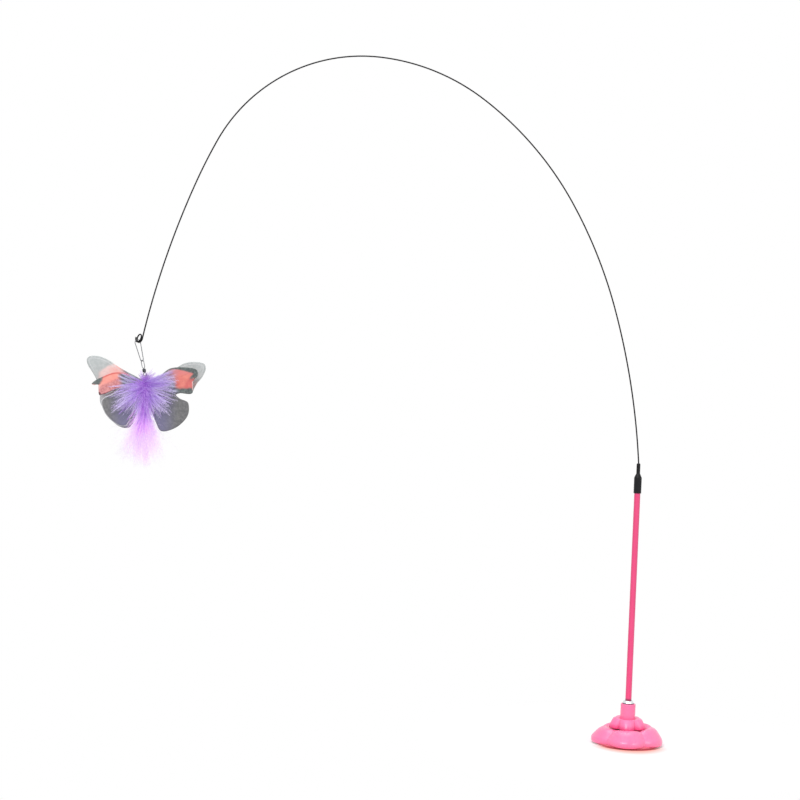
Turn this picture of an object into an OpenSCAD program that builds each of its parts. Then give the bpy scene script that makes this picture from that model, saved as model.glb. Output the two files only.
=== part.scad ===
// Cat teaser wand: a suction base with a flower cover, a rod in a turning
// socket, a long springy wire, and a film butterfly with feathers on a
// snap and a swivel. The origin is on the floor, on the axis of the base,
// with Z up and the butterfly towards -X.

/* [Suction base] */
// Diameter of the suction cup's rim
rim_d = 64; // [60:1:70]
// Thickness of the rim that the flower cover rests on
rim_h = 2.3; // [1.8:0.1:3.2]
// Width of the flat ledge on top of the rim
rim_ledge = 7; // [6:0.5:8]
// Depth of the hollow under the cup
hollow_depth = 3; // [2:0.1:3.4]
// Width of the sealing lip around the hollow
seal_w = 3; // [2:0.5:4]
// Thickness of the cup over the middle of the hollow
cup_wall = 3.6; // [3:0.1:4]
// Wall of the boss that grips the stem's flange
boss_wall = 1.7; // [1.2:0.1:2.2]
// Thickness of the boss's top over the flange
boss_lip = 1.6; // [1:0.1:1.8]

/* [Flower cover] */
// Width of the flower cover across its petals
cover_d = 71; // [68:1:76]
// Number of petals on the cover and on the nut
petals = 5; // [4:1:6]
// Direction of the front petal
front_petal_angle = 261; // [200:1:320]
// Distance of a petal's own axis from the middle
petal_offset = 14; // [12:0.5:15]
// Height of the cover's top above the floor
cover_top = 15; // [14.5:0.1:17]
// Height of a petal's widest point above the rim
petal_wide_h = 3.2; // [2.6:0.1:3.4]
// Radius of a petal's rounded side
petal_edge_r = 6; // [5:0.1:6.4]
// Wall of the cover
cover_wall = 1.6; // [1.2:0.1:2]

/* [Lock nut] */
// Distance of a nut lobe's own axis from the middle
nut_offset = 8; // [7:0.5:8.5]
// Radius of a nut lobe
nut_lobe_r = 10.6; // [10:0.2:11.6]
// Height of the nut
nut_h = 9.6; // [8.5:0.1:10.5]
// Height of a lobe's widest point above the nut's underside
nut_wide_h = 3; // [2.8:0.1:3.2]
// Radius of a lobe's rounded side
nut_edge_r = 4; // [3.8:0.1:4.2]

/* [Stem and socket] */
// Diameter of the post
post_d = 14.5; // [13:0.5:16]
// Height of the post above the nut
post_reach = 14; // [12:0.5:20]
// Diameter of the flange at the post's foot
flange_d = 22; // [20:0.5:24]
// Thickness of the flange
flange_t = 1.6; // [1.2:0.1:2]
// Depth of a thread groove
thread_depth = 0.5; // [0.3:0.05:0.8]
// Distance between thread grooves
thread_pitch = 2.2; // [2:0.1:2.6]
// Number of thread grooves under the nut
thread_turns = 4; // [2:1:4]
// Wall of the metal socket liner
liner_wall = 1.1; // [0.8:0.1:1.4]
// Depth of the liner's tube in the post
liner_depth = 21.7; // [16:0.1:23]
// Thickness of the liner's floor
liner_floor = 1; // [0.8:0.1:1.5]
// Diameter of the liner's collar on top of the post
collar_d = 11; // [10.2:0.2:12.5]
// Height of the collar
collar_h = 3.1; // [2.4:0.1:4]
// Chamfer on the collar's top edge
collar_chamfer = 0.8; // [0.4:0.1:1]

/* [Rod and ferrule] */
// Diameter of the rod
rod_d = 6; // [5:0.5:7]
// Wall of the rod's tube
rod_wall = 1; // [0.8:0.1:1.2]
// Length of the rod's tube
rod_length = 239; // [180:1:300]
// Thickness of the head of the plug in the rod's lower end
plug_head = 1; // [0.8:0.1:1.5]
// Length of the plug's spigot in the rod
plug_length = 6; // [4:0.5:10]
// Length of the bush that holds the wire in the rod's top
bush_length = 24; // [16:1:40]
// Length of rod that the ferrule covers
ferrule_grip = 13; // [8:0.5:20]
// Wall of the ferrule
ferrule_wall = 0.7; // [0.5:0.1:1]
// Length of the ferrule's full part above the rod's end
ferrule_shoulder = 2.3; // [1.5:0.1:4]
// Length of the ferrule's taper
ferrule_taper = 4; // [3:0.5:6]
// Length of the ferrule's neck on the wire
ferrule_neck = 10; // [6:0.5:16]
// Diameter of the ferrule's neck
neck_d = 3.7; // [3.2:0.1:4]

/* [Wire] */
// Diameter of the spring wire
wire_d = 1.4; // [1:0.05:1.5]
// Length of the wire from the ferrule to its end eye
wire_length = 910; // [700:1:1000]
// Direction in which the wire leaves the ferrule, from the horizontal
wire_heading = 95; // [90:0.5:100]
// Radius of the wire's end eye, at the middle of the wire
eye_r = 4; // [3.9:0.1:5]
// Number of turns in the end eye
eye_turns = 1.5; // [1.25:0.25:1.75]
// Distance between the eye's turns
eye_pitch = 1.7; // [1.65:0.05:1.9]

/* [Snap and swivel] */
// Diameter of the snap's wire
snap_wire_d = 0.8; // [0.6:0.05:0.9]
// Radius of the snap's top bend, at the middle of the wire
snap_top_r = 2.8; // [2.8:0.1:3]
// Radius of the snap's lower bend, at the middle of the wire
snap_low_r = 1.5; // [1.4:0.1:1.8]
// Distance between the middles of the snap's bends
snap_span = 17.3; // [12:0.1:20]
// Length of the catch that the gate closes against
catch_length = 2; // [1.6:0.1:3]
// Diameter of the swivel's wire
swivel_wire_d = 0.7; // [0.6:0.05:0.8]
// Radius of the bends in the swivel's upper eye
upper_eye_r = 2.1; // [1.9:0.1:2.4]
// Length of the straight sides of the upper eye
upper_eye_straight = 4; // [3:0.1:6]
// Diameter of the swivel's barrel
barrel_d = 3.4; // [3.2:0.1:4]
// Length of the swivel's barrel
barrel_length = 3.5; // [3.4:0.1:5]
// Wall at the ends of the barrel
barrel_end = 0.6; // [0.5:0.05:0.7]
// Radius of the swivel's lower eye
lower_eye_r = 1.6; // [1.5:0.1:2]

/* [Butterfly] */
// Reach of a wing tip from the middle of the body
wing_reach = 58; // [50:1:66]
// Thickness of the wing film
film_t = 0.25; // [0.2:0.05:0.4]
// Radius that the front wings are bent to
front_bend_r = 90; // [80:1:140]
// Radius that the back wings are bent to
back_bend_r = 300; // [260:5:400]
// Diameter of the body
body_d = 7; // [6:0.5:8]
// Length of the body
body_length = 41; // [38:1:48]
// Depth of the front feathers
front_plume_t = 9; // [7:0.5:12]
// Depth of the back feathers
back_plume_t = 5; // [4:0.5:8]
// Length of the tail feather
tail_length = 41; // [30:1:50]
// Width of the tail feather
tail_w = 26; // [20:1:30]

/* [Hidden] */

// Facet counts of the preview mesh
fine = 96;
soft_facets = 32;
arc_facets = 720;
wire_facets = 24;

// Clearances: a soft seat, a running fit, a press fit, and a link's play
soft_gap = 0.3;
run_gap = 0.05;
nut_gap = 0.1;
press_gap = 0.02;
link_gap = 0.3;
overrun = 1;

// Base
rim_r = rim_d / 2;
cover_r = cover_d / 2;
rim_chamfer = 0.5;
crown_z = hollow_depth + cup_wall;
hollow_r = rim_r - seal_w;
hollow_sphere_r = (hollow_r * hollow_r + hollow_depth * hollow_depth) / (2 * hollow_depth);
post_r = post_d / 2;
flange_r = flange_d / 2;
flange_z = crown_z + soft_gap;
pocket_top = flange_z + flange_t + soft_gap;
boss_r = flange_r + soft_gap + boss_wall;
boss_top = pocket_top + boss_lip;
petal_r = cover_r - petal_offset;
sector_scale = 1.3;
petal_crease = 0.12;
hub_wall = 3.4;
hub_r = post_r + soft_gap + hub_wall;
hub_h = 2.4;
hub_drop_share = 0.9;
hub_top = cover_top - cover_wall * hub_drop_share;
nut_z = cover_top + nut_gap;
nut_top = nut_z + nut_h;
post_top = nut_top + post_reach;
post_chamfer = 0.4;

// Socket and rod
rod_r = rod_d / 2;
liner_bore_r = rod_r + run_gap;
liner_r = liner_bore_r + liner_wall;
liner_z = post_top - liner_depth;
socket_r = liner_r + run_gap;
socket_floor = liner_z - nut_gap;
rod_seat_z = liner_z + liner_floor;
rod_z = rod_seat_z + plug_head;
rod_top = rod_z + rod_length;
rod_bore_r = rod_r - rod_wall;
spigot_r = rod_bore_r - press_gap;
wire_r = wire_d / 2;
bush_bore_r = wire_r + press_gap;
ferrule_r = rod_r + press_gap + ferrule_wall;
ferrule_z = rod_top - ferrule_grip;
ferrule_taper_z = rod_top + ferrule_shoulder;
ferrule_neck_z = ferrule_taper_z + ferrule_taper;
mouth_z = ferrule_neck_z + ferrule_neck;
neck_r = neck_d / 2;

// Wire: arcs that follow one another, each with its share of the length and its turn
arc_shares = [0.17, 0.12, 0.15, 0.12, 0.16, 0.05, 0.05, 0.18];
arc_turns = [12.5, 13.5, 24, 30.5, 51.5, 16, 5, 11];
first_middle_arc = 2;
first_upper_arc = 4;
ball_scale = 1.12;
seam_scale = 1.02;
ball_r = wire_r * ball_scale;
ball_gap = 0.06;
joint_skip = ball_r + ball_gap;
mouth_gap = 0.3;
wire_z = mouth_z + mouth_gap;

function sum_to(list, n) = n <= 0 ? 0 : list[n - 1] + sum_to(list, n - 1);
function arc_r(i) = wire_length * arc_shares[i] / (arc_turns[i] * PI / 180);
function arc_heading(i) = wire_heading + sum_to(arc_turns, i);
function arc_middle(i) = arc_point(i) + arc_r(i) * [-sin(arc_heading(i)), 0, cos(arc_heading(i))];
function arc_point(i) = i == 0 ? [0, 0, wire_z]
    : arc_middle(i - 1) + arc_r(i - 1) * [sin(arc_heading(i)), 0, -cos(arc_heading(i))];

// End eye: a helix about its own middle, turned and leaning as the wire brings it
eye_azimuth = -50;
eye_lean = 19;
eye_start_gap = 0.25;
eye_rings = 24;
eye_sides = 8;
eye_low_turn_share = 0.75;
eye_out = [cos(eye_azimuth) * cos(eye_lean), sin(eye_azimuth), -cos(eye_azimuth) * sin(eye_lean)];
eye_down = [-sin(eye_lean), 0, -cos(eye_lean)];
eye_axis = cross(eye_down, eye_out);
wire_end = arc_point(len(arc_shares));
eye_middle = wire_end - eye_r * eye_out;
eye_start_angle = eye_start_gap / eye_r * 180 / PI;
function eye_point(a) = eye_middle + eye_r * (cos(a) * eye_out + sin(a) * eye_down)
    + eye_axis * eye_pitch * a / 360;

// Snap: hangs on the eye's lowest turns
snap_azimuth = 31;
snap_lean = -16.4;
snap_r = snap_wire_d / 2;
snap_pivot = eye_middle + eye_r * eye_down + eye_axis * eye_pitch * eye_low_turn_share;
snap_inner_r = snap_top_r - snap_r;
snap_stack = eye_pitch / 2 + wire_r;
snap_drop = snap_inner_r - snap_stack - link_gap;
snap_belt = asin((snap_top_r - snap_low_r) / snap_span);
snap_right = [cos(snap_belt), 0, -sin(snap_belt)];
snap_along = [-sin(snap_belt), 0, -cos(snap_belt)];
snap_low = [0, 0, -snap_span];
catch_end = snap_top_r * snap_right + catch_length * snap_along;
gate_pivot = snap_low + snap_low_r * snap_right;
gate_ball_r = snap_r * ball_scale;
gate_gap = 0.15;
snap_link = [0, 0, -snap_drop - snap_span - snap_low_r];

// Swivel: hangs on the snap's lower bend
swivel_azimuth = -45;
swivel_lean = -13.7;
swivel_r = swivel_wire_d / 2;
swivel_pivot = snap_pivot + leaned(snap_link, snap_lean);
swivel_hang = snap_r + swivel_r + link_gap;
upper_bend_z = swivel_hang - upper_eye_r;
lower_bend_z = upper_bend_z - upper_eye_straight;
barrel_top = lower_bend_z - upper_eye_r - swivel_r - gate_gap;
barrel_low = barrel_top - barrel_length;
barrel_r = barrel_d / 2;
barrel_end_share = 0.74;
barrel_cavity_share = 0.66;
head_share = 0.5;
head_t_share = 0.17;
barrel_end_r = barrel_r * barrel_end_share;
barrel_cavity_r = barrel_r * barrel_cavity_share;
head_r = barrel_r * head_share;
head_t = barrel_length * head_t_share;
head_gap = 0.1;
shank_gap = 0.08;
lower_eye_z = barrel_low - gate_gap - swivel_r - lower_eye_r;
lure_link = [0, 0, lower_eye_z - lower_eye_r];

// Butterfly: hangs on the swivel's lower eye, with its body upright
lure_pivot = swivel_pivot + leaned(lure_link, swivel_lean);
hanger_hang = 2 * swivel_r + link_gap;
hanger_z = hanger_hang - lower_eye_r;
hanger_low = hanger_z - lower_eye_r;
body_r = body_d / 2;
body_z = hanger_low - swivel_r - link_gap;
body_waist_r = body_r - link_gap;
body_end_share = 0.45;
body_taper_share = 1.2;
body_end_r = body_r * body_end_share;
body_end_length = body_r * body_taper_share;
body_low = body_z - body_length;
stop_scale = 2.4;
hanger_stop_r = swivel_r * stop_scale;
binding_w = 1.6;
binding_t = link_gap - press_gap;
low_binding_share = 0.52;
binding_zs = [body_z - body_end_length - binding_w, body_z - body_length * low_binding_share];

// Wings: outlines as shares of the reach, from the middle of the body
wing_z = -9.4;
wing_root_x = 1;
film_gap = 0.25;
wing_root_y = body_r + film_gap + film_t / 2;
sheet_scale = 1.1;
outline_steps = 4;
front_left_shares = [
    [0.03, 0.06], [0.158, 0.12], [0.275, 0.18], [0.37, 0.205], [0.53, 0.19], [0.695, 0.11],
    [0.784, 0.055], [0.842, -0.005], [0.811, -0.028], [0.749, -0.02], [0.74, -0.1], [0.717, -0.195],
    [0.631, -0.18], [0.548, -0.14], [0.427, -0.08], [0.53, -0.175], [0.631, -0.22], [0.681, -0.28],
    [0.681, -0.35], [0.658, -0.42], [0.613, -0.51], [0.539, -0.595], [0.437, -0.67], [0.361, -0.7],
    [0.265, -0.685], [0.192, -0.53], [0.139, -0.35], [0.03, -0.2]];
front_right_shares = [
    [0.03, 0.06], [0.172, 0.11], [0.233, 0.15], [0.306, 0.215], [0.41, 0.295], [0.516, 0.325],
    [0.644, 0.333], [0.791, 0.328], [0.895, 0.305], [0.928, 0.257], [0.926, 0.197], [0.873, 0.14],
    [0.851, 0.1], [0.851, -0.03], [0.845, -0.09], [0.78, -0.112], [0.596, -0.1], [0.526, -0.122],
    [0.574, -0.18], [0.671, -0.21], [0.763, -0.245], [0.793, -0.32], [0.791, -0.43],
    [0.741, -0.535], [0.622, -0.655], [0.484, -0.73], [0.361, -0.76], [0.295, -0.735],
    [0.244, -0.65], [0.151, -0.45], [0.091, -0.3], [0.03, -0.2]];
back_left_shares = [
    [0.03, 0.08], [0.17, 0.15], [0.35, 0.235], [0.5, 0.32], [0.64, 0.405], [0.765, 0.455],
    [0.88, 0.469], [0.95, 0.457], [0.987, 0.42], [0.995, 0.38], [0.97, 0.3], [0.91, 0.21],
    [0.84, 0.097], [0.785, -0.02], [0.76, -0.16], [0.75, -0.3], [0.71, -0.39], [0.645, -0.49],
    [0.55, -0.605], [0.45, -0.69], [0.345, -0.73], [0.24, -0.72], [0.175, -0.62], [0.12, -0.45],
    [0.03, -0.22]];
back_right_shares = [
    [0.03, 0.08], [0.2, 0.14], [0.38, 0.23], [0.54, 0.34], [0.635, 0.397], [0.75, 0.43],
    [0.88, 0.435], [0.985, 0.413], [1.018, 0.35], [1.01, 0.28], [0.96, 0.175], [0.885, 0.08],
    [0.835, -0.015], [0.8, -0.07], [0.66, -0.09], [0.53, -0.13], [0.59, -0.19], [0.7, -0.24],
    [0.74, -0.33], [0.735, -0.43], [0.69, -0.53], [0.585, -0.645], [0.46, -0.715], [0.345, -0.74],
    [0.24, -0.65], [0.14, -0.47], [0.03, -0.22]];

// Feathers: the room that each tuft takes, as shares of the wing's reach
plume_gap = 0.35;
plume_root_r = 2.4;
plume_face_share = 0.33;
quill_r = 1.2;
quill_gap = 0.1;
front_plume_shares = [[0, 0.03, 0.31], [0.03, -0.4, 0.2]];
back_plume_shares = [[0, 0.03, 0.26], [0, -0.35, 0.17]];
tail_t_share = 0.6;
tail_t = body_d * tail_t_share;
tail_shares = [[0, 0, 0.2], [0.1, -0.46, 1], [0.14, -0.8, 0.62]];
tail_gap = 0.5;

function leaned(v, a) = [v[0] * cos(a) + v[2] * sin(a), v[1], v[2] * cos(a) - v[0] * sin(a)];
function spline(p, q, r, s, t) = 0.5 * (2 * q + (r - p) * t + (2 * p - 5 * q + 4 * r - s) * t * t
    + (3 * q - p - 3 * r + s) * t * t * t);
function smooth_outline(p) = let (n = len(p)) concat([p[0]],
    [for (i = [0 : n - 2]) for (k = [1 : outline_steps])
        spline(p[max(i - 1, 0)], p[i], p[i + 1], p[min(i + 2, n - 1)], k / outline_steps)]);

// Half of a petal's section: a rounded side that runs on into a flatter crown
module flower_profile(lobe_r, edge_r, z_low, z_wide, z_top) {
    side_x = lobe_r - edge_r;
    rise = z_top - z_wide;
    crown_r = (side_x * side_x + rise * rise - edge_r * edge_r) / (2 * (rise - edge_r));
    side = [side_x, z_wide];
    crown = [0, z_top - crown_r];
    outward = (side - crown) / (crown_r - edge_r);
    intersection() {
        union() {
            translate(side) circle(r = edge_r, $fn = fine);
            translate([0, z_low]) square([side_x, z_wide - z_low]);
            intersection() {
                translate(crown) circle(r = crown_r, $fn = arc_facets);
                polygon([crown, crown + sector_scale * crown_r * outward,
                         crown + [0, sector_scale * crown_r]]);
            }
        }
        translate([0, z_low]) square([lobe_r, z_top - z_low]);
    }
}

// Petals round the middle, each a revolved profile cut to its own sector
module flower(offset_r, z_low, z_top, crease) {
    half = 180 / petals;
    reach = 2 * cover_r;
    apex = [crease / 2 / sin(half), 0];
    for (i = [0 : petals - 1])
        rotate([0, 0, front_petal_angle + i * 360 / petals]) intersection() {
            translate([offset_r, 0, 0]) rotate_extrude($fn = fine) children();
            translate([0, 0, z_low - overrun]) linear_extrude(height = z_top - z_low + 2 * overrun)
                polygon([apex, apex + reach * [cos(half), -sin(half)],
                         apex + reach * [cos(half), sin(half)]]);
        }
}

module suction_cup() {
    color("lightpink") difference() {
        rotate_extrude($fn = fine) polygon([
            [0, 0], [rim_r - rim_chamfer, 0], [rim_r, rim_chamfer], [rim_r, rim_h],
            [rim_r - rim_ledge, rim_h], [boss_r, crown_z], [boss_r, boss_top], [0, boss_top]]);
        translate([0, 0, hollow_depth - hollow_sphere_r]) sphere(r = hollow_sphere_r, $fn = arc_facets);
        translate([0, 0, crown_z])
            cylinder(r = flange_r + soft_gap, h = pocket_top - crown_z, $fn = fine);
        translate([0, 0, crown_z])
            cylinder(r = post_r + soft_gap, h = boss_top - crown_z + overrun, $fn = fine);
    }
}

module flower_cover() {
    color("hotpink") difference() {
        union() {
            flower(petal_offset, rim_h, cover_top, petal_crease) difference() {
                flower_profile(petal_r, petal_edge_r, rim_h, rim_h + petal_wide_h, cover_top);
                flower_profile(petal_r - cover_wall, petal_edge_r - cover_wall, rim_h - overrun,
                               rim_h + petal_wide_h, cover_top - cover_wall);
            }
            translate([0, 0, hub_top - hub_h]) cylinder(r = hub_r, h = hub_h, $fn = fine);
        }
        cylinder(r = post_r + soft_gap, h = cover_top + overrun, $fn = fine);
    }
}

module lock_nut() {
    color("hotpink") difference() {
        flower(nut_offset, nut_z, nut_top, 0)
            flower_profile(nut_lobe_r, nut_edge_r, nut_z, nut_z + nut_wide_h, nut_top);
        translate([0, 0, nut_z - overrun])
            cylinder(r = post_r + nut_gap, h = nut_h + 2 * overrun, $fn = fine);
    }
}

module cup_stem() {
    thread_top = nut_top - thread_pitch / 2;
    color("hotpink") difference() {
        union() {
            translate([0, 0, flange_z]) cylinder(r = flange_r, h = flange_t, $fn = fine);
            translate([0, 0, flange_z])
                cylinder(r = post_r, h = post_top - post_chamfer - flange_z, $fn = fine);
            translate([0, 0, post_top - post_chamfer])
                cylinder(r1 = post_r, r2 = post_r - post_chamfer, h = post_chamfer, $fn = fine);
        }
        translate([0, 0, socket_floor])
            cylinder(r = socket_r, h = post_top - socket_floor + overrun, $fn = fine);
        for (i = [0 : thread_turns - 1])
            translate([0, 0, thread_top - i * thread_pitch])
                rotate_extrude($fn = fine) polygon([
                    [post_r - thread_depth, 0], [post_r + thread_depth, thread_depth * 2],
                    [post_r + thread_depth, -thread_depth * 2]]);
    }
}

module socket_liner() {
    collar_r = collar_d / 2;
    color("silver") difference() {
        rotate_extrude($fn = fine) polygon([
            [0, liner_z], [liner_r, liner_z], [liner_r, post_top], [collar_r, post_top],
            [collar_r, post_top + collar_h - collar_chamfer],
            [collar_r - collar_chamfer, post_top + collar_h], [0, post_top + collar_h]]);
        translate([0, 0, rod_seat_z])
            cylinder(r = liner_bore_r, h = liner_depth + collar_h + overrun, $fn = fine);
    }
}

module rod() {
    color("deeppink") translate([0, 0, rod_z]) difference() {
        cylinder(r = rod_r, h = rod_length, $fn = fine);
        translate([0, 0, -overrun]) cylinder(r = rod_bore_r, h = rod_length + 2 * overrun, $fn = fine);
    }
}

module rod_plug() {
    color("dimgray") {
        translate([0, 0, rod_seat_z]) cylinder(r = rod_r, h = plug_head, $fn = fine);
        translate([0, 0, rod_z]) cylinder(r = spigot_r, h = plug_length, $fn = fine);
    }
}

module wire_bush() {
    color("dimgray") translate([0, 0, rod_top - bush_length]) difference() {
        cylinder(r = spigot_r, h = bush_length, $fn = fine);
        translate([0, 0, -overrun]) cylinder(r = bush_bore_r, h = bush_length + 2 * overrun, $fn = fine);
    }
}

module ferrule() {
    lip = neck_r - bush_bore_r;
    color("black") difference() {
        rotate_extrude($fn = fine) union() {
            polygon([[0, ferrule_z], [ferrule_r, ferrule_z], [ferrule_r, ferrule_taper_z],
                     [neck_r, ferrule_neck_z], [neck_r, mouth_z - lip], [bush_bore_r, mouth_z - lip],
                     [bush_bore_r, mouth_z], [0, mouth_z]]);
            intersection() {
                translate([bush_bore_r, mouth_z - lip]) circle(r = lip, $fn = fine);
                translate([bush_bore_r, mouth_z - lip]) square(lip);
            }
        }
        translate([0, 0, ferrule_z - overrun])
            cylinder(r = rod_r + press_gap, h = ferrule_grip + overrun, $fn = fine);
        translate([0, 0, ferrule_z])
            cylinder(r = bush_bore_r, h = mouth_z - ferrule_z + overrun, $fn = fine);
    }
}

// One arc of the wire, which may start a little way along
module wire_arc(i, skip) {
    skip_angle = skip / arc_r(i) * 180 / PI;
    translate(arc_middle(i)) rotate([90, 0, 0]) rotate([0, 0, arc_heading(i) - 90 + skip_angle])
        rotate_extrude(angle = arc_turns[i] - skip_angle, $fn = arc_facets)
            translate([arc_r(i), 0]) circle(r = wire_r, $fn = wire_facets);
}

module ball(point, r) {
    translate(point) sphere(r = r, $fn = wire_facets * 2);
}

module wire_root() {
    color("black") {
        root_z = rod_top - bush_length;
        translate([0, 0, root_z]) cylinder(r = wire_r, h = wire_z - root_z, $fn = wire_facets);
        ball([0, 0, wire_z], ball_r);
    }
}

module wire_run(first, last, ends_in_joint) {
    for (i = [first : last]) {
        wire_arc(i, i == first ? joint_skip : 0);
        if (i > first) ball(arc_point(i), wire_r * seam_scale);
    }
    if (ends_in_joint) ball(arc_point(last + 1), ball_r);
}

module wire_lower() {
    color("black") wire_run(0, first_middle_arc - 1, true);
}

module wire_middle() {
    color("black") wire_run(first_middle_arc, first_upper_arc - 1, true);
}

module wire_upper() {
    color("black") wire_run(first_upper_arc, len(arc_shares) - 1, false);
}

module end_eye() {
    rings = floor(eye_rings * eye_turns);
    step = (eye_turns * 360 - eye_start_angle) / rings;
    angles = [for (k = [0 : rings]) eye_start_angle + k * step];
    points = [for (a = angles) for (j = [0 : eye_sides - 1])
        eye_point(a) + wire_r * (cos(j * 360 / eye_sides) * (cos(a) * eye_out + sin(a) * eye_down)
            - sin(j * 360 / eye_sides) * eye_axis)];
    sides = [for (k = [0 : rings - 1]) for (j = [0 : eye_sides - 1])
        let (a = k * eye_sides + j, b = k * eye_sides + (j + 1) % eye_sides)
            each [[a, b, b + eye_sides], [a, b + eye_sides, a + eye_sides]]];
    first_cap = [for (j = [1 : eye_sides - 2]) [0, j + 1, j]];
    last = rings * eye_sides;
    last_cap = [for (j = [1 : eye_sides - 2]) [last, last + j, last + j + 1]];
    echo(least_gap_between_turns = norm(eye_point(360) - eye_point(0)) - wire_d);
    color("black") polyhedron(points, concat(sides, first_cap, last_cap));
}

// Bends and straights of the small wire pieces, in their own upright plane
module bend(middle, bend_r, r, from, turn) {
    translate(middle) rotate([90, 0, 0]) rotate([0, 0, from])
        rotate_extrude(angle = turn, $fn = fine) translate([bend_r, 0]) circle(r = r, $fn = wire_facets);
}

module straight(from, to, r) {
    run = to - from;
    translate(from) rotate([0, atan2(run[0], run[2]), 0]) cylinder(r = r, h = norm(run), $fn = wire_facets);
}

module hung(pivot, lean, azimuth) {
    translate(pivot) rotate([0, lean, 0]) rotate([0, 0, azimuth]) children();
}

module snap_hook() {
    left_top = [-snap_top_r * cos(snap_belt), 0, -snap_top_r * sin(snap_belt)];
    left_low = snap_low + [-snap_low_r * cos(snap_belt), 0, -snap_low_r * sin(snap_belt)];
    color("silver") hung(snap_pivot, snap_lean, snap_azimuth) translate([0, 0, -snap_drop]) {
        bend([0, 0, 0], snap_top_r, snap_r, -snap_belt, 180 + 2 * snap_belt);
        straight(left_top, left_low, snap_r);
        bend(snap_low, snap_low_r, snap_r, 180 + snap_belt, 180 - 2 * snap_belt);
        straight(snap_top_r * snap_right, catch_end, snap_r);
        for (point = [left_top, left_low, snap_top_r * snap_right]) ball(point, snap_r * seam_scale);
        ball(gate_pivot, gate_ball_r);
    }
}

module snap_gate() {
    gate_start = gate_pivot - (gate_ball_r + ball_gap) * snap_along;
    gate_end = catch_end + (gate_ball_r + gate_gap) * snap_along;
    color("silver") hung(snap_pivot, snap_lean, snap_azimuth) translate([0, 0, -snap_drop]) {
        straight(gate_start, gate_end, snap_r);
        ball(gate_end, gate_ball_r);
    }
}

// A round shank with a head, as it turns in one end of the barrel
module headed_shank(eye_end, wall_inside, toward) {
    head_z = wall_inside + toward * head_gap;
    translate([0, 0, min(eye_end, head_z)])
        cylinder(r = swivel_r, h = abs(head_z - eye_end), $fn = wire_facets);
    translate([0, 0, toward > 0 ? head_z : head_z - head_t])
        cylinder(r = head_r, h = head_t, $fn = wire_facets);
}

module swivel_upper_eye() {
    top = [0, 0, upper_bend_z];
    low = [0, 0, lower_bend_z];
    side = [upper_eye_r, 0, 0];
    color("silver") hung(swivel_pivot, swivel_lean, swivel_azimuth) {
        bend(top, upper_eye_r, swivel_r, 0, 180);
        straight(low + side, top + side, swivel_r);
        straight(low - side, top - side, swivel_r);
        bend(low, upper_eye_r, swivel_r, 180, 180);
        headed_shank(lower_bend_z - upper_eye_r, barrel_top - barrel_end, -1);
    }
}

module swivel_barrel() {
    color("dimgray") hung(swivel_pivot, swivel_lean, swivel_azimuth) difference() {
        rotate_extrude($fn = fine) polygon([
            [0, barrel_low], [barrel_end_r, barrel_low], [barrel_r, barrel_low + barrel_end],
            [barrel_r, barrel_top - barrel_end], [barrel_end_r, barrel_top], [0, barrel_top]]);
        translate([0, 0, barrel_low + barrel_end])
            cylinder(r = barrel_cavity_r, h = barrel_length - 2 * barrel_end, $fn = fine);
        translate([0, 0, barrel_low - overrun])
            cylinder(r = swivel_r + shank_gap, h = barrel_length + 2 * overrun, $fn = fine);
    }
}

module swivel_lower_eye() {
    color("silver") hung(swivel_pivot, swivel_lean, 0) {
        bend([0, 0, lower_eye_z], lower_eye_r, swivel_r, 0, 360);
        headed_shank(lower_eye_z + lower_eye_r, barrel_low + barrel_end, 1);
    }
}

module hanger_wire() {
    stop_z = body_low - hanger_stop_r - press_gap;
    color("silver") translate(lure_pivot) {
        rotate([0, 0, 90]) bend([0, 0, hanger_z], lower_eye_r, swivel_r, 0, 360);
        translate([0, 0, stop_z]) cylinder(r = swivel_r, h = hanger_low - stop_z, $fn = wire_facets);
        ball([0, 0, stop_z], hanger_stop_r);
    }
}

module butterfly_body() {
    color("purple") translate(lure_pivot) difference() {
        rotate_extrude($fn = fine) polygon(concat(
            [[0, body_low], [body_end_r, body_low], [body_r, body_low + body_end_length]],
            [for (z = [binding_zs[1], binding_zs[0]]) each [
                [body_r, z], [body_waist_r, z], [body_waist_r, z + binding_w], [body_r, z + binding_w]]],
            [[body_r, body_z - body_end_length], [body_end_r, body_z], [0, body_z]]));
        translate([0, 0, body_low - overrun])
            cylinder(r = swivel_r + press_gap, h = body_length + 2 * overrun, $fn = wire_facets);
    }
}

module thread_binding() {
    color("mediumpurple") translate(lure_pivot)
        for (z = binding_zs)
            translate([0, 0, z + press_gap]) difference() {
                cylinder(r = body_r, h = binding_w - 2 * press_gap, $fn = fine);
                translate([0, 0, -overrun])
                    cylinder(r = body_r - binding_t, h = binding_w + 2 * overrun, $fn = fine);
            }
}

// A film wing: its outline seen from the front, cut out of a bent sheet
module wing(shares, side, root_y, bend_r) {
    outline = [for (p = smooth_outline(shares)) [side * p[0], p[1]] * wing_reach];
    reach = wing_reach * sheet_scale;
    bend_depth = bend_r - sqrt(bend_r * bend_r - reach * reach);
    translate(lure_pivot + [0, root_y, wing_z]) intersection() {
        translate([0, film_t, 0]) rotate([90, 0, 0])
            linear_extrude(height = bend_depth + 2 * film_t) polygon(outline);
        translate([side * wing_root_x, -bend_r, -wing_reach]) difference() {
            cylinder(r = bend_r + film_t / 2, h = 2 * wing_reach, $fn = arc_facets);
            translate([0, 0, -overrun])
                cylinder(r = bend_r - film_t / 2, h = 2 * wing_reach + 2 * overrun, $fn = arc_facets);
        }
    }
}

module back_wing_left() {
    color("lightgray") wing(back_left_shares, -1, wing_root_y, back_bend_r);
}

module back_wing_right() {
    color("lightgray") wing(back_right_shares, 1, wing_root_y, back_bend_r);
}

module front_wing_left() {
    color("salmon") wing(front_left_shares, -1, -wing_root_y, front_bend_r);
}

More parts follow.
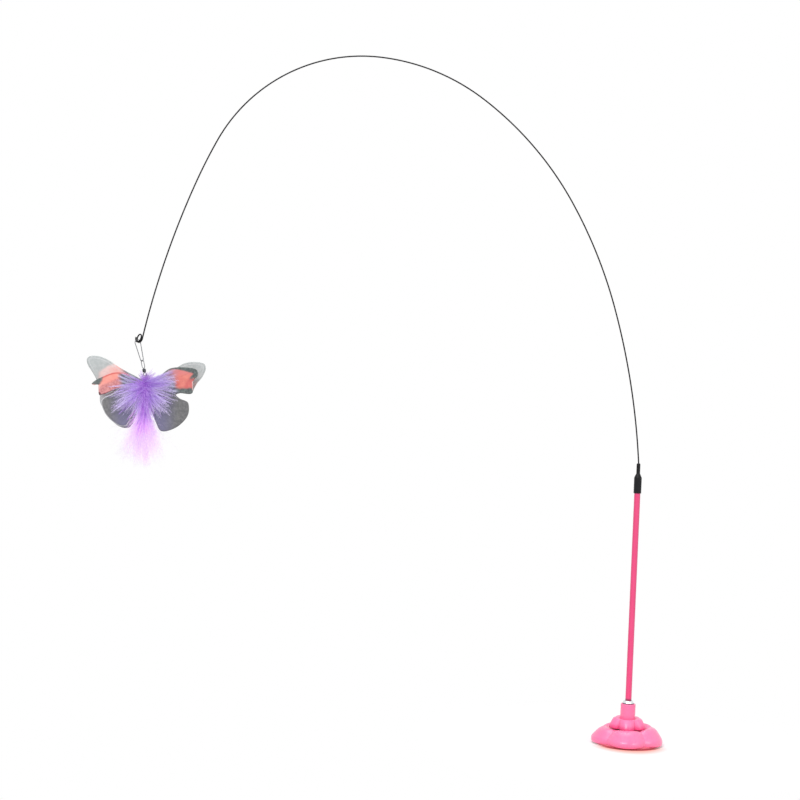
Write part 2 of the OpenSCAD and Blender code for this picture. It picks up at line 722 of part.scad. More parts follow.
module front_wing_right() {
    color("salmon") wing(front_right_shares, 1, -wing_root_y, front_bend_r);
}

// A tuft's room: a quill at the body, then a shallow cone that opens over its discs
module tuft(discs, side, depth) {
    root_y = body_r + quill_gap;
    near_y = wing_root_y + film_t + plume_gap;
    far_y = near_y + depth;
    face_t = depth * plume_face_share;
    translate([0, 0, wing_z]) rotate([-90 * side, 0, 0]) {
        translate([0, 0, root_y]) cylinder(r = quill_r, h = far_y - root_y, $fn = soft_facets);
        hull() {
            translate([0, 0, near_y]) cylinder(r = plume_root_r, h = depth, $fn = soft_facets);
            for (d = discs)
                translate([d[0] * wing_reach, -side * d[1] * wing_reach, far_y - face_t])
                    cylinder(r = d[2] * wing_reach, h = face_t, $fn = soft_facets);
        }
    }
}

module feather_front() {
    color("mediumpurple") translate(lure_pivot) tuft(front_plume_shares, -1, front_plume_t);
}

module feather_back() {
    color("mediumpurple") translate(lure_pivot) tuft(back_plume_shares, 1, back_plume_t);
}

module feather_tail() {
    tail_z = body_low - 2 * hanger_stop_r - tail_gap;
    color("lavender") translate(lure_pivot + [0, 0, tail_z]) hull()
        for (d = tail_shares) {
            disc_r = tail_w / 2 * d[2];
            translate([d[0] * tail_length, tail_t / 2, d[1] * tail_length - disc_r])
                rotate([90, 0, 0]) cylinder(r = disc_r, h = tail_t, $fn = soft_facets);
        }
}

suction_cup();
flower_cover();
cup_stem();
lock_nut();
socket_liner();
rod();
rod_plug();
wire_bush();
ferrule();
wire_root();
wire_lower();
wire_middle();
wire_upper();
end_eye();
snap_hook();
snap_gate();
swivel_upper_eye();
swivel_barrel();
swivel_lower_eye();
hanger_wire();
butterfly_body();
thread_binding();
back_wing_left();
back_wing_right();
front_wing_left();
front_wing_right();
feather_front();
feather_back();
feather_tail();
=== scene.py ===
import math
import random

import bmesh
import bpy
from mathutils import Matrix, Vector, noise


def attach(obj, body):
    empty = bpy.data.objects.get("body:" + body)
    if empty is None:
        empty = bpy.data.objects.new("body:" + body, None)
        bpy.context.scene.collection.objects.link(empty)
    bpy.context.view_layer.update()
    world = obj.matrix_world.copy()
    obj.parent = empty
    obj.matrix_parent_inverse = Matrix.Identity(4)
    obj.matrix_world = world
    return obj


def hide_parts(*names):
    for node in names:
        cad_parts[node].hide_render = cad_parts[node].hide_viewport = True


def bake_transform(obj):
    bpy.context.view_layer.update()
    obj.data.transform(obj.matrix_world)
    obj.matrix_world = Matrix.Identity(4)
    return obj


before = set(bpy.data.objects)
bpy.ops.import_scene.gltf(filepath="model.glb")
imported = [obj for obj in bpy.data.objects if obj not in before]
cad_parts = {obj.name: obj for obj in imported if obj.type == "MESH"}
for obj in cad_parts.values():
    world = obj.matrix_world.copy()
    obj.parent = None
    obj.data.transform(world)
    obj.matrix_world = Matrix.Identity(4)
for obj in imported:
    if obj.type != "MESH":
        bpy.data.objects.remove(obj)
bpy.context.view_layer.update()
print("frame loaded")


def tone(red, green, blue):
    def linear(value):
        value /= 255.0
        return value / 12.92 if value <= 0.04045 else ((value + 0.055) / 1.055) ** 2.4
    return (linear(red), linear(green), linear(blue), 1.0)


# camera and lamps

view = {"target": (-0.2363, 0.0, 0.3262), "distance": 1.6, "lens": 73.47, "sensorWidth": 36.0,
        "nearest": 0.01, "farthest": 50.0, "rollDegrees": 2.48}


def addCamera():
    data = bpy.data.cameras.new("photoCamera")
    data.lens = view["lens"]
    data.sensor_width = view["sensorWidth"]
    data.clip_start, data.clip_end = view["nearest"], view["farthest"]
    camera = bpy.data.objects.new("photoCamera", data)
    bpy.context.scene.collection.objects.link(camera)
    place = Vector(view["target"]) - Vector((0.0, view["distance"], 0.0))
    level = Matrix.Rotation(math.radians(90.0), 4, "X")
    roll = Matrix.Rotation(math.radians(view["rollDegrees"]), 4, "Z")
    camera.matrix_world = Matrix.Translation(place) @ (level @ roll)
    bpy.context.scene.camera = camera


studio = {
    "lamps": [  # name, place, aim, size, watts
        ("keyLamp", (-0.8, -1.7, 1.5), (-0.2, 0.0, 0.2), 0.8, 30.0),
        ("fillLamp", (1.1, -1.5, 0.8), (-0.2, 0.0, 0.2), 0.7, 9.0),
        ("topLamp", (-0.2, 0.2, 2.1), (-0.2, 0.0, 0.2), 1.2, 14.0),
    ],
    "skyLight": 0.50,
    "floorTone": 0.96, "floorRadius": 0.6, "floorSides": 96, "floorDrop": 0.0001, "floorGlow": 0.30,
    "floorFade": (0.09, 0.22),
    # painted pink bounce light that the base would throw on the floor in front of it, and a painted contact
    # shadow under its rim
    "paintedBounceTone": tone(250, 184, 172), "paintedBounceReach": (0.058, 0.036), "paintedBounceFront": (-0.006, -0.028),
    "paintedBounceSquash": 1.7,
    "paintedShadowTone": tone(186, 92, 98), "paintedShadowReach": (0.0358, 0.0342), "paintedShadowFront": (-0.012, -0.028),
}


def addLamps():
    for name, place, aim, size, watts in studio["lamps"]:
        data = bpy.data.lights.new(name, "AREA")
        data.shape = "SQUARE"
        data.size = size
        data.energy = watts
        lamp = bpy.data.objects.new(name, data)
        bpy.context.scene.collection.objects.link(lamp)
        lamp.location = place
        lamp.rotation_euler = (Vector(aim) - Vector(place)).to_track_quat("-Z", "Y").to_euler()


# shader helpers: sums on sockets, and one way to add any node

class Knob:
    def __init__(self, finish, socket):
        self.finish = finish
        self.socket = socket

    def maths(self, operation, *values):
        return self.finish.add("ShaderNodeMath", {"operation": operation}, dict(enumerate(values)))

    def __add__(self, other):
        return self.maths("ADD", self, other)

    def __sub__(self, other):
        return self.maths("SUBTRACT", self, other)

    def __rsub__(self, other):
        return self.maths("SUBTRACT", other, self)

    def __mul__(self, other):
        return self.maths("MULTIPLY", self, other)

    def __pow__(self, other):
        return self.maths("POWER", self, other)

    __radd__ = __add__
    __rmul__ = __mul__

    def size(self):
        return self.maths("ABSOLUTE", self)

    def wave(self):
        return self.maths("SINE", self)

    def ramp(self, low, high, start=0.0, end=1.0):
        return self.finish.add(
            "ShaderNodeMapRange", {"interpolation_type": "SMOOTHSTEP"},
            {"Value": self, "From Min": low, "From Max": high, "To Min": start, "To Max": end})

    def spread(self, start=0.0, end=1.0):
        # noise keeps mostly between these two values, so this stretches it to the full range
        return self.ramp(0.3, 0.7, start, end)


class Finish:
    def __init__(self, name, constants=None):
        self.material = bpy.data.materials.new(name)
        self.material.use_nodes = True
        self.tree = self.material.node_tree
        self.shader = self.tree.nodes["Principled BSDF"]
        for label, value in (constants or {}).items():
            self.shader.inputs[label].default_value = value

    def add(self, kind, settings=None, values=None, output=0):
        node = self.tree.nodes.new(kind)
        for label, value in (settings or {}).items():
            if label == "stops":
                while len(node.color_ramp.elements) < len(value):
                    node.color_ramp.elements.new(0.5)
                for stop, (place, colour) in zip(node.color_ramp.elements, value):
                    stop.position = place
                    stop.color = colour
            else:
                setattr(node, label, value)
        for label, value in (values or {}).items():
            if isinstance(value, Knob):
                self.tree.links.new(value.socket, node.inputs[label])
            else:
                node.inputs[label].default_value = value
        return Knob(self, node.outputs[output])

    def feed(self, label, knob):
        self.tree.links.new(knob.socket, self.shader.inputs[label])

    def mixed(self, share, first, second):
        node = self.tree.nodes.new("ShaderNodeMix")
        node.data_type = "RGBA"  # which puts its colours on sockets 6 and 7
        for label, value in ((0, share), (6, first), (7, second)):
            if isinstance(value, Knob):
                self.tree.links.new(value.socket, node.inputs[label])
            else:
                node.inputs[label].default_value = value
        return Knob(self, node.outputs[2])

    def layered(self, colour, *layers):
        # lays colours over the first one, each with its share
        for share, over in layers:
            colour = self.mixed(share, colour, over)
        return colour

    def place(self):
        return self.add("ShaderNodeTexCoord", output="Object")

    def axes(self):
        node = self.add("ShaderNodeSeparateXYZ", values={0: self.place()})
        return [Knob(self, node.socket.node.outputs[i]) for i in range(3)]

    def speck(self, scale, detail=3.0, roughness=0.5, vector=None):
        return self.add("ShaderNodeTexNoise", values={
            "Vector": vector or self.place(), "Scale": scale, "Detail": detail, "Roughness": roughness})

    def patches(self, speck, fade, share):
        # where a noise rises from one of fade's values to the other, and how strongly that shows
        return self.speck(*speck).ramp(*fade) * share

    def stretched(self, x, y, z):
        return self.add("ShaderNodeMapping", values={"Vector": self.place(), "Scale": (x, y, z)})

    def bump(self, height, strength, distance):
        self.feed("Normal", self.add("ShaderNodeBump", values={
            "Height": height, "Strength": strength, "Distance": distance}))

    def filmBump(self, vein, look):
        height = self.speck(*look["skin"]) + vein * look["veinBump"]
        self.bump(height, look["bumpStrength"], look["bumpDepth"])

    def own(self, label):
        return self.add("ShaderNodeAttribute", {"attribute_name": label}, output=2)


# Plastics, metals and the wire's coating. Each speck of a finish is a noise's scale, its detail
# and, where it isn't 0.5, its roughness.

mould = {
    "cloud": {"speck": (38.0, 2.0), "fade": (0.35, 0.7), "share": 0.3},
    "grain": {"speck": (900.0, 2.0), "fade": (0.55, 0.8), "share": 0.12},
    "gloss": (160.0, 3.0), "glossFade": (0.3, 0.75), "glossRange": (0.8, 1.3), "shadowEdge": 1.25,
    "peel": (420.0, 3.0), "wave": (60.0, 1.0), "waveShare": 2.0, "bumpStrength": 0.08, "bumpDepth": 0.0003,
}


def mouldedFinish(name, base, dark, pale, roughness, constants=None, paintedShadeBelow=None):
    # the last argument is a height and a colour: below that height the surface takes that colour, as
    # painted shade
    finish = Finish(name, constants)
    colour = finish.layered(base, (finish.patches(**mould["cloud"]), pale),
                            (finish.patches(**mould["grain"]), dark))
    if paintedShadeBelow:
        height, shade = paintedShadeBelow
        z = finish.axes()[2]
        colour = finish.mixed(z.ramp(height * mould["shadowEdge"], height), colour, shade)
    finish.feed("Base Color", colour)
    low, high = mould["glossRange"]
    gloss = finish.speck(*mould["gloss"])
    finish.feed("Roughness", gloss.ramp(*mould["glossFade"], roughness * low, roughness * high))
    bumps = finish.speck(*mould["peel"]) + finish.speck(*mould["wave"]) * mould["waveShare"]
    finish.bump(bumps, mould["bumpStrength"], mould["bumpDepth"])
    return finish.material


basePink = mouldedFinish(
    "basePink", tone(250, 116, 164), tone(236, 90, 142), tone(255, 140, 182), roughness=0.34,
    constants={"Coat Weight": 0.35, "Coat Roughness": 0.24, "Subsurface Weight": 0.08,
               "Subsurface Radius": (0.004, 0.0016, 0.0018), "Subsurface Scale": 1.0, "IOR": 1.48})
# the cup is darkened below 2.4 mm: painted shade under the cover's overhanging petals
cupPink = mouldedFinish(
    "cupPink", tone(238, 118, 150), tone(205, 80, 115), tone(255, 160, 188), roughness=0.38,
    constants={"Subsurface Weight": 0.2, "Subsurface Radius": (0.006, 0.002, 0.002),
               "Subsurface Scale": 1.0},
    paintedShadeBelow=(0.0024, tone(222, 104, 124)))
# the nut is darkened towards its foot: painted shade where it sits in the cover's dish
nutPink = mouldedFinish(
    "nutPink", tone(252, 118, 168), tone(236, 90, 142), tone(255, 146, 188), roughness=0.42,
    constants={"Coat Weight": 0.2, "Coat Roughness": 0.36, "IOR": 1.46},
    paintedShadeBelow=(0.0166, tone(226, 78, 134)))
darkPlastic = mouldedFinish(
    "darkPlastic", tone(44, 44, 46), tone(30, 30, 32), tone(60, 60, 62), roughness=0.55)


rodLook = {
    "tone": tone(232, 70, 126), "streakTone": tone(218, 56, 110), "patchTone": tone(242, 88, 142),
    "streak": (1.0, 4.0), "streakScales": (900.0, 900.0, 14.0), "streakShare": 0.5,
    "patch": {"speck": (30.0, 2.0), "fade": (0.45, 0.75), "share": 0.3},
    # painted shade at the rod's foot, where it enters the collar
    "gapShadeTone": tone(140, 26, 72), "gapShadeTop": (0.0446, 0.0424), "gapShadeFoot": (0.0402, 0.0412),
    "glossFade": (0.25, 0.75), "gloss": (0.26, 0.40), "bumpStrength": 0.15, "bumpDepth": 0.0001,
}


def rodFinish():
    finish = Finish("rodPink", {"Coat Weight": 0.25, "Coat Roughness": 0.2, "IOR": 1.48})
    streak = finish.speck(*rodLook["streak"], vector=finish.stretched(*rodLook["streakScales"]))
    z = finish.axes()[2]
    # the rod is darkened where it enters the collar: painted shade in the gap around its foot
    gapShade = z.ramp(*rodLook["gapShadeTop"]) * z.ramp(*rodLook["gapShadeFoot"])
    finish.feed("Base Color", finish.layered(
        rodLook["tone"], (streak.spread() * rodLook["streakShare"], rodLook["streakTone"]),
        (finish.patches(**rodLook["patch"]), rodLook["patchTone"]), (gapShade, rodLook["gapShadeTone"])))
    finish.feed("Roughness", streak.ramp(*rodLook["glossFade"], *rodLook["gloss"]))
    finish.bump(streak, rodLook["bumpStrength"], rodLook["bumpDepth"])
    return finish.material


turned = {
    "smear": (1.0, 3.0), "smearScales": (120.0, 120.0, 2600.0), "smearFade": (0.4, 0.75), "smearShare": 0.5,
    "glossRange": (0.8, 1.35), "gapShadeEdge": 0.0003, "ringShare": 0.5, "bumpStrength": 0.12,
    "bumpDepth": 0.00006,
}


def turnedMetal(name, colour, dark, roughness, ringsPerMetre, gapShadeBelow=None):
    # the last argument is a height and a colour: just below that height the metal takes that colour, as
    # painted shade of a gap
    finish = Finish(name, {"Metallic": 1.0})
    z = finish.axes()[2]
    rings = (z * ringsPerMetre).wave() * 0.5 + 0.5
    smear = finish.speck(*turned["smear"], vector=finish.stretched(*turned["smearScales"]))
    shown = finish.mixed(smear.ramp(*turned["smearFade"]) * turned["smearShare"], colour, dark)
    if gapShadeBelow:
        height, gapShade = gapShadeBelow
        shown = finish.mixed(z.ramp(height + turned["gapShadeEdge"], height), shown, gapShade)
    finish.feed("Base Color", shown)
    low, high = turned["glossRange"]
    finish.feed("Roughness", smear.spread(roughness * low, roughness * high))
    finish.bump(rings * turned["ringShare"] + smear, turned["bumpStrength"], turned["bumpDepth"])
    return finish.material


drawn = {
    "scratch": (2400.0, 4.0, 0.7), "tarnish": {"speck": (260.0, 3.0), "fade": (0.42, 0.72), "share": 0.65},
    "glossFade": (0.3, 0.75), "glossRange": (0.75, 1.5), "bumpStrength": 0.10, "bumpDepth": 0.00003,
}


def drawnSteel(name, colour, dark, roughness):
    finish = Finish(name, {"Metallic": 1.0, "Roughness": roughness})
    scratch = finish.speck(*drawn["scratch"])
    finish.feed("Base Color", finish.mixed(finish.patches(**drawn["tarnish"]), colour, dark))
    low, high = drawn["glossRange"]
    finish.feed("Roughness", scratch.ramp(*drawn["glossFade"], roughness * low, roughness * high))
    finish.bump(scratch, drawn["bumpStrength"], drawn["bumpDepth"])
    return finish.material


coating = {
    "tone": tone(18, 18, 20), "wornTone": tone(40, 40, 44), "skin": (1500.0, 3.0),
    "wear": {"speck": (240.0, 4.0, 0.65), "fade": (0.58, 0.78), "share": 0.35},
    "gloss": (0.36, 0.55), "bumpStrength": 0.15, "bumpDepth": 0.00005,
}


def coatedWire():
    finish = Finish("coatedWire", {"Specular IOR Level": 0.14})
    skin = finish.speck(*coating["skin"])
    wear = finish.patches(**coating["wear"])
    finish.feed("Base Color", finish.mixed(wear, coating["tone"], coating["wornTone"]))
    finish.feed("Roughness", skin.spread(*coating["gloss"]))
    finish.bump(skin, coating["bumpStrength"], coating["bumpDepth"])
    return finish.material


sleeve = {
    "tone": tone(15, 15, 18), "wornTone": tone(38, 38, 42), "skin": (700.0, 3.0),
    "wear": {"speck": (90.0, 3.0), "fade": (0.5, 0.75), "share": 0.4}, "gloss": (0.38, 0.55),
    "ringsPerMetre": 2600.0, "ringShare": 0.2, "bumpStrength": 0.2, "bumpDepth": 0.00008,
}


def sleeveFinish():
    finish = Finish("blackSleeve", {"Specular IOR Level": 0.2})
    skin = finish.speck(*sleeve["skin"])
    wear = finish.patches(**sleeve["wear"])
    finish.feed("Base Color", finish.mixed(wear, sleeve["tone"], sleeve["wornTone"]))
    finish.feed("Roughness", skin.spread(*sleeve["gloss"]))
    rings = (finish.axes()[2] * sleeve["ringsPerMetre"]).wave() * sleeve["ringShare"]
    finish.bump(skin + rings, sleeve["bumpStrength"], sleeve["bumpDepth"])
    return finish.material


rodPink = rodFinish()
# the collar's lowest edge is darkened: painted shade of the gap over the post
collarMetal = turnedMetal(
    "collarMetal", tone(226, 229, 231), tone(186, 189, 193), roughness=0.30, ringsPerMetre=9000.0,
    gapShadeBelow=(0.0393, tone(66, 52, 62)))
barrelMetal = turnedMetal(
    "barrelMetal", tone(74, 75, 80), tone(42, 42, 46), roughness=0.34, ringsPerMetre=14000.0)
snapSteel = drawnSteel("snapSteel", tone(122, 123, 126), tone(58, 59, 62), roughness=0.34)
wireBlack = coatedWire()
sleeveBlack = sleeveFinish()


def dress(node, material):
    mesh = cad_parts[node]
    mesh.data.materials.clear()
    mesh.data.materials.append(material)


for node, material in {
    "cup_stem": basePink, "rod": rodPink, "rod_plug": darkPlastic, "wire_bush": darkPlastic,
    "ferrule": sleeveBlack, "snap_hook": snapSteel, "snap_gate": snapSteel,
    "swivel_upper_eye": snapSteel, "swivel_barrel": barrelMetal, "swivel_lower_eye": snapSteel,
    "hanger_wire": snapSteel,
}.items():
    dress(node, material)
print("CAD nodes dressed")


def linkMesh(name, bm, material):
    mesh = bpy.data.meshes.new(name)
    bm.to_mesh(mesh)
    bm.free()
    mesh.materials.append(material)
    made = bpy.data.objects.new(name, mesh)
    bpy.context.scene.collection.objects.link(made)
    return made


def addPiece(name, bm, material, replaced, body=None):
    piece = linkMesh(name, bm, material)
    for polygon in piece.data.polygons:
        polygon.use_smooth = True
    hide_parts(*replaced)
    if body:
        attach(piece, body)
    return piece


# the base: soft cup, flower cover, lobed nut and the socket's collar

flower = {"petals": 5, "frontAngle": 261.0, "segments": 240, "bore": 0.00755}
cover = {
    "offset": 0.014, "lobe": 0.0213, "creaseDip": 0.0024, "dipLead": 0.12, "dipEase": 0.7,
    "rightRise": 0.0013, "lip": 0.0011, "lipNotch": 0.0006, "notchSpan": 0.6,
    "dish": [(0.00755, 0.0136), (0.012, 0.0137), (0.017, 0.0139), (0.0190, 0.0143)],
    "dishEdge": 0.0194,
    "pillow": [  # share of the way from the dish to a petal's edge, and the height there
        (0.0, 0.0150), (0.06, 0.0158), (0.14, 0.0163), (0.26, 0.0165), (0.38, 0.0160), (0.50, 0.0150),
        (0.60, 0.0137), (0.69, 0.0122), (0.77, 0.0107), (0.83, 0.0095), (0.88, 0.0085), (0.925, 0.0076),
        (0.96, 0.0067), (0.985, 0.0058), (1.0, 0.0046), (0.996, 0.0034)],
    "lipTurn": [(0.984, 0.0006), (0.966, 0.0002), (0.945, 0.0), (0.925, 0.0004)],
    "inside": [(0.90, 0.0042), (0.84, 0.0076), (0.66, 0.0112), (0.40, 0.0138), (0.10, 0.0140)],
    "underDish": [(0.017, 0.0125), (0.00755, 0.0122)],
}
nut = {
    "offset": 0.0106, "lobe": 0.0078, "bore": 0.00735, "low": 0.0151, "topReach": 0.0145, "topLobes": 0.16,
    "sections": [  # share of the way from bore to rim, height over the foot, share drawn in to the top
        (0.0, 0.0, 0.0), (0.93, 0.0, 0.0), (0.97, 0.0002, 0.0), (0.993, 0.0007, 0.0), (1.0, 0.0014, 0.03),
        (1.0, 0.0028, 0.18), (1.0, 0.0044, 0.38), (1.0, 0.0060, 0.58), (1.0, 0.0074, 0.77),
        (0.992, 0.0083, 0.92), (0.966, 0.0090, 1.0), (0.92, 0.0094, 1.0), (0.86, 0.0096, 1.0),
        (0.72, 0.0095, 1.0), (0.40, 0.0092, 1.0), (0.0, 0.0091, 1.0)],
}
cup = {
    "profile": [  # radius and height
        (0.0, 0.0030), (0.0115, 0.00255), (0.0205, 0.0015), (0.029, 0.0), (0.0315, 0.0), (0.032, 0.0005),
        (0.032, 0.0019), (0.0316, 0.0023), (0.026, 0.0024), (0.022, 0.0034), (0.013, 0.0066),
        (0.013, 0.0102), (0.0128, 0.0104), (0.00755, 0.0104), (0.00755, 0.0091), (0.0113, 0.0088),
        (0.0113, 0.0066), (0.0, 0.0066)],
    "rimTop": 0.0023, "bossFoot": 0.0066,  # the real cup stretches between these heights when the post lifts
}
liner = {
    "profile": [
        (0.0031, 0.0170), (0.00415, 0.0170), (0.00415, 0.0387), (0.0054, 0.0387), (0.0055, 0.0389),
        (0.0055, 0.0394), (0.0053, 0.0399), (0.0049, 0.0406), (0.0046, 0.0413), (0.0043, 0.0417),
        (0.0040, 0.0418), (0.0031, 0.0418)],
}


def ringEdges(ring):
    found = set(ring)
    around = {edge for vertex in ring for edge in vertex.link_edges}
    return [edge for edge in around if edge.verts[0] in found and edge.verts[1] in found]


def spinProfile(profile, place=Vector(), steps=96, closed=False):
    # turns a profile of radii and heights once about an upright axis through place
    bm = bmesh.new()
    verts = [bm.verts.new(place + Vector((r, 0.0, z))) for r, z in profile]
    pairs = list(zip(verts, verts[1:])) + ([(verts[-1], verts[0])] if closed else [])
    bmesh.ops.spin(bm, geom=[bm.edges.new(pair) for pair in pairs], cent=place, axis=(0, 0, 1),
                   angle=2 * math.pi, steps=steps, use_merge=True, use_duplicate=False)
    bmesh.ops.remove_doubles(bm, verts=bm.verts, dist=1e-6)
    bmesh.ops.recalc_face_normals(bm, faces=bm.faces)
    return bm


def lobeReach(angle, offset, lobe):
    # how far a ring of lobes reaches at an angle, and how close that is to a crease, from 0 to 1
    step = 2 * math.pi / flower["petals"]
    turn = (angle - math.radians(flower["frontAngle"]) + step / 2) % step - step / 2
    reach = offset * math.cos(turn) + math.sqrt(lobe ** 2 - (offset * math.sin(turn)) ** 2)
    return reach, abs(turn) / (step / 2)


def drawRings(rings):
    # joins rings, each given by a function from an angle to a radius and a height
    bm = bmesh.new()
    ring = bmesh.ops.create_circle(bm, segments=flower["segments"], radius=flower["bore"])["verts"]
    first = ringEdges(ring)
    for number, shape in enumerate(rings):
        if number:
            made = bmesh.ops.extrude_edge_only(bm, edges=ringEdges(ring))["geom"]
            ring = [g for g in made if isinstance(g, bmesh.types.BMVert)]
        for vertex in ring:
            angle = math.atan2(vertex.co.y, vertex.co.x)
            radius, height = shape(angle)
            vertex.co = Vector((radius * math.cos(angle), radius * math.sin(angle), height))
    bmesh.ops.bridge_loops(bm, edges=first + ringEdges(ring))
    bmesh.ops.recalc_face_normals(bm, faces=bm.faces)
    return bm


def roundRing(radius, height):
    return lambda angle: (radius, height)


def petalRing(share, height):
    def shape(angle):
        reach, crease = lobeReach(angle, cover["offset"], cover["lobe"])
        swell = math.sin(math.pi * min(1.0, share + cover["dipLead"])) ** cover["dipEase"]
        dip = cover["creaseDip"] * crease ** 4 * swell
        crown = 4.0 * share * (1.0 - share)  # 1 half way out to the edge
        rise = cover["rightRise"] * math.cos(angle) * crown
        return cover["dishEdge"] + (reach - cover["dishEdge"]) * share, height - dip + rise
    return shape


def lipRing(share, rise):
    def shape(angle):
        reach, crease = lobeReach(angle, cover["offset"], cover["lobe"])
        notch = cover["lipNotch"] * min(1.0, crease / cover["notchSpan"]) ** 2
        return cover["dishEdge"] + (reach - cover["dishEdge"]) * share, cover["lip"] + notch + rise
    return shape


def nutRing(share, rise, drawn):
    def shape(angle):
        reach, crease = lobeReach(angle, nut["offset"], nut["lobe"])
        top = nut["topReach"] * (1 - nut["topLobes"] * crease ** 2)
        reach += (top - reach) * drawn
        return nut["bore"] + (reach - nut["bore"]) * share, nut["low"] + rise
    return shape


coverRings = ([roundRing(*spot) for spot in cover["dish"]] + [petalRing(*spot) for spot in cover["pillow"]]
              + [lipRing(*spot) for spot in cover["lipTurn"]]
              + [petalRing(*spot) for spot in cover["inside"]]
              + [roundRing(*spot) for spot in cover["underDish"]])
nutRings = [nutRing(*section) for section in nut["sections"]]
addPiece("petalCover", drawRings(coverRings), basePink, ["flower_cover"], "base")
addPiece("lobedNut", drawRings(nutRings), nutPink, ["lock_nut"], "nut")
addPiece("turnedLiner", spinProfile(liner["profile"], closed=True), collarMetal,
         ["socket_liner"], "socket")
softCup = addPiece("softCup", spinProfile(cup["profile"]), cupPink, ["suction_cup"])
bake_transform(softCup)
print("base made")


# the spring wire, spun arc by arc along the same route as its solids

wire = {
    "radius": 0.0007, "length": 0.910, "startHeight": 0.2746, "heading": 95.0,
    "arcShares": [0.17, 0.12, 0.15, 0.12, 0.16, 0.05, 0.05, 0.18],
    "arcTurns": [12.5, 13.5, 24.0, 30.5, 51.5, 16.0, 5.0, 11.0],
    "sides": 12, "stepLength": 0.004, "leastSteps": 6, "rootHeight": 0.262,
    "eyeRadius": 0.004, "eyeTurns": 1.5, "eyePitch": 0.0017, "eyeAzimuth": -50.0, "eyeLean": 19.0,
    "eyeSteps": 60,
    "footReach": 0.125, "bendReach": 0.095,  # how far from its hinges the real wire bends
}


def alongHeading(heading):
    return Vector((math.cos(heading), 0.0, math.sin(heading)))


def leftOfHeading(heading):
    return Vector((-math.sin(heading), 0.0, math.cos(heading)))


def wirePoint(index):
    point, heading = Vector((0.0, 0.0, wire["startHeight"])), math.radians(wire["heading"])
    for share, turn in list(zip(wire["arcShares"], wire["arcTurns"]))[:index]:
        radius = wire["length"] * share / math.radians(turn)
        middle = point + radius * leftOfHeading(heading)
        heading += math.radians(turn)
        point = middle - radius * leftOfHeading(heading)
    return point, heading


def startWire(point, direction):
    bm = bmesh.new()
    turn = direction.to_track_quat("Z", "Y").to_matrix().to_4x4()
    ring = bmesh.ops.create_circle(bm, segments=wire["sides"], radius=wire["radius"],
                                   matrix=Matrix.Translation(point) @ turn)["verts"]
    return bm, ring


def spinArc(bm, ring, index):
    point, heading = wirePoint(index)
    turn = math.radians(wire["arcTurns"][index])
    length = wire["length"] * wire["arcShares"][index]
    middle = point + length / turn * leftOfHeading(heading)
    steps = max(wire["leastSteps"], round(length / wire["stepLength"]))
    made = bmesh.ops.spin(bm, geom=ringEdges(ring), cent=middle, axis=(0, -1, 0), angle=turn,
                          steps=steps, use_duplicate=False)
    return [g for g in made["geom_last"] if isinstance(g, bmesh.types.BMVert)]


def closeWire(bm):
    bmesh.ops.holes_fill(bm, edges=[e for e in bm.edges if e.is_boundary], sides=0)
    bmesh.ops.recalc_face_normals(bm, faces=bm.faces)


def wireFoot():
    bm, ring = startWire(Vector((0.0, 0.0, wire["rootHeight"])), Vector((0.0, 0.0, 1.0)))
    made = bmesh.ops.extrude_edge_only(bm, edges=ringEdges(ring))["geom"]
    ring = [g for g in made if isinstance(g, bmesh.types.BMVert)]
    bmesh.ops.translate(bm, verts=ring, vec=(0.0, 0.0, wire["startHeight"] - wire["rootHeight"]))
    spinArc(bm, ring, 0)
    closeWire(bm)
    return addPiece("springWireFoot", bm, wireBlack, ["wire_root", "wire_lower"])


def wireRun(name, arcs, replaced):
    point, heading = wirePoint(arcs[0])
    bm, ring = startWire(point, alongHeading(heading))
    for index in arcs:
        ring = spinArc(bm, ring, index)
    if len(wire["arcShares"]) - 1 in arcs:
        ring = coilEye(bm, ring)
    closeWire(bm)
    return addPiece(name, bm, wireBlack, replaced)


def coilEye(bm, ring):
    azimuth, lean = math.radians(wire["eyeAzimuth"]), math.radians(wire["eyeLean"])
    out = Vector((math.cos(azimuth) * math.cos(lean), math.sin(azimuth),
                  -math.cos(azimuth) * math.sin(lean)))
    down = Vector((-math.sin(lean), 0.0, -math.cos(lean)))
    turnAxis = out.cross(down)
    end, heading = wirePoint(len(wire["arcShares"]))
    along = alongHeading(heading)
    climb = wire["eyePitch"] / (2 * math.pi * wire["eyeRadius"])
    tangent = (down - turnAxis * climb).normalized()
    bmesh.ops.rotate(bm, verts=ring, cent=end, matrix=along.rotation_difference(tangent).to_matrix())
    steps = wire["eyeSteps"]
    made = bmesh.ops.spin(bm, geom=ringEdges(ring), cent=end - wire["eyeRadius"] * out, axis=turnAxis,
                          dvec=turnAxis * (-wire["eyePitch"] * wire["eyeTurns"] / steps),
                          angle=2 * math.pi * wire["eyeTurns"], steps=steps, use_duplicate=False)
    return [g for g in made["geom_last"] if isinstance(g, bmesh.types.BMVert)]


def blendAcross(piece, index):
    point, heading = wirePoint(index)
    along = alongHeading(heading)
    if index:
        start, end = point - wire["bendReach"] * along, point + wire["bendReach"] * along
    else:
        start, end = point, point + wire["footReach"] * along
    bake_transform(piece)


footWire = wireFoot()
bendWire = wireRun("springWireBend", [1, 2], ["wire_middle"])  # the numbers are arcs of the route
tipWire = wireRun("springWireTip", [3, 4, 5, 6, 7], ["wire_upper", "end_eye"])
blendAcross(footWire, 0)
blendAcross(bendWire, 2)
blendAcross(tipWire, 4)
print("spring wire made")


# film wings

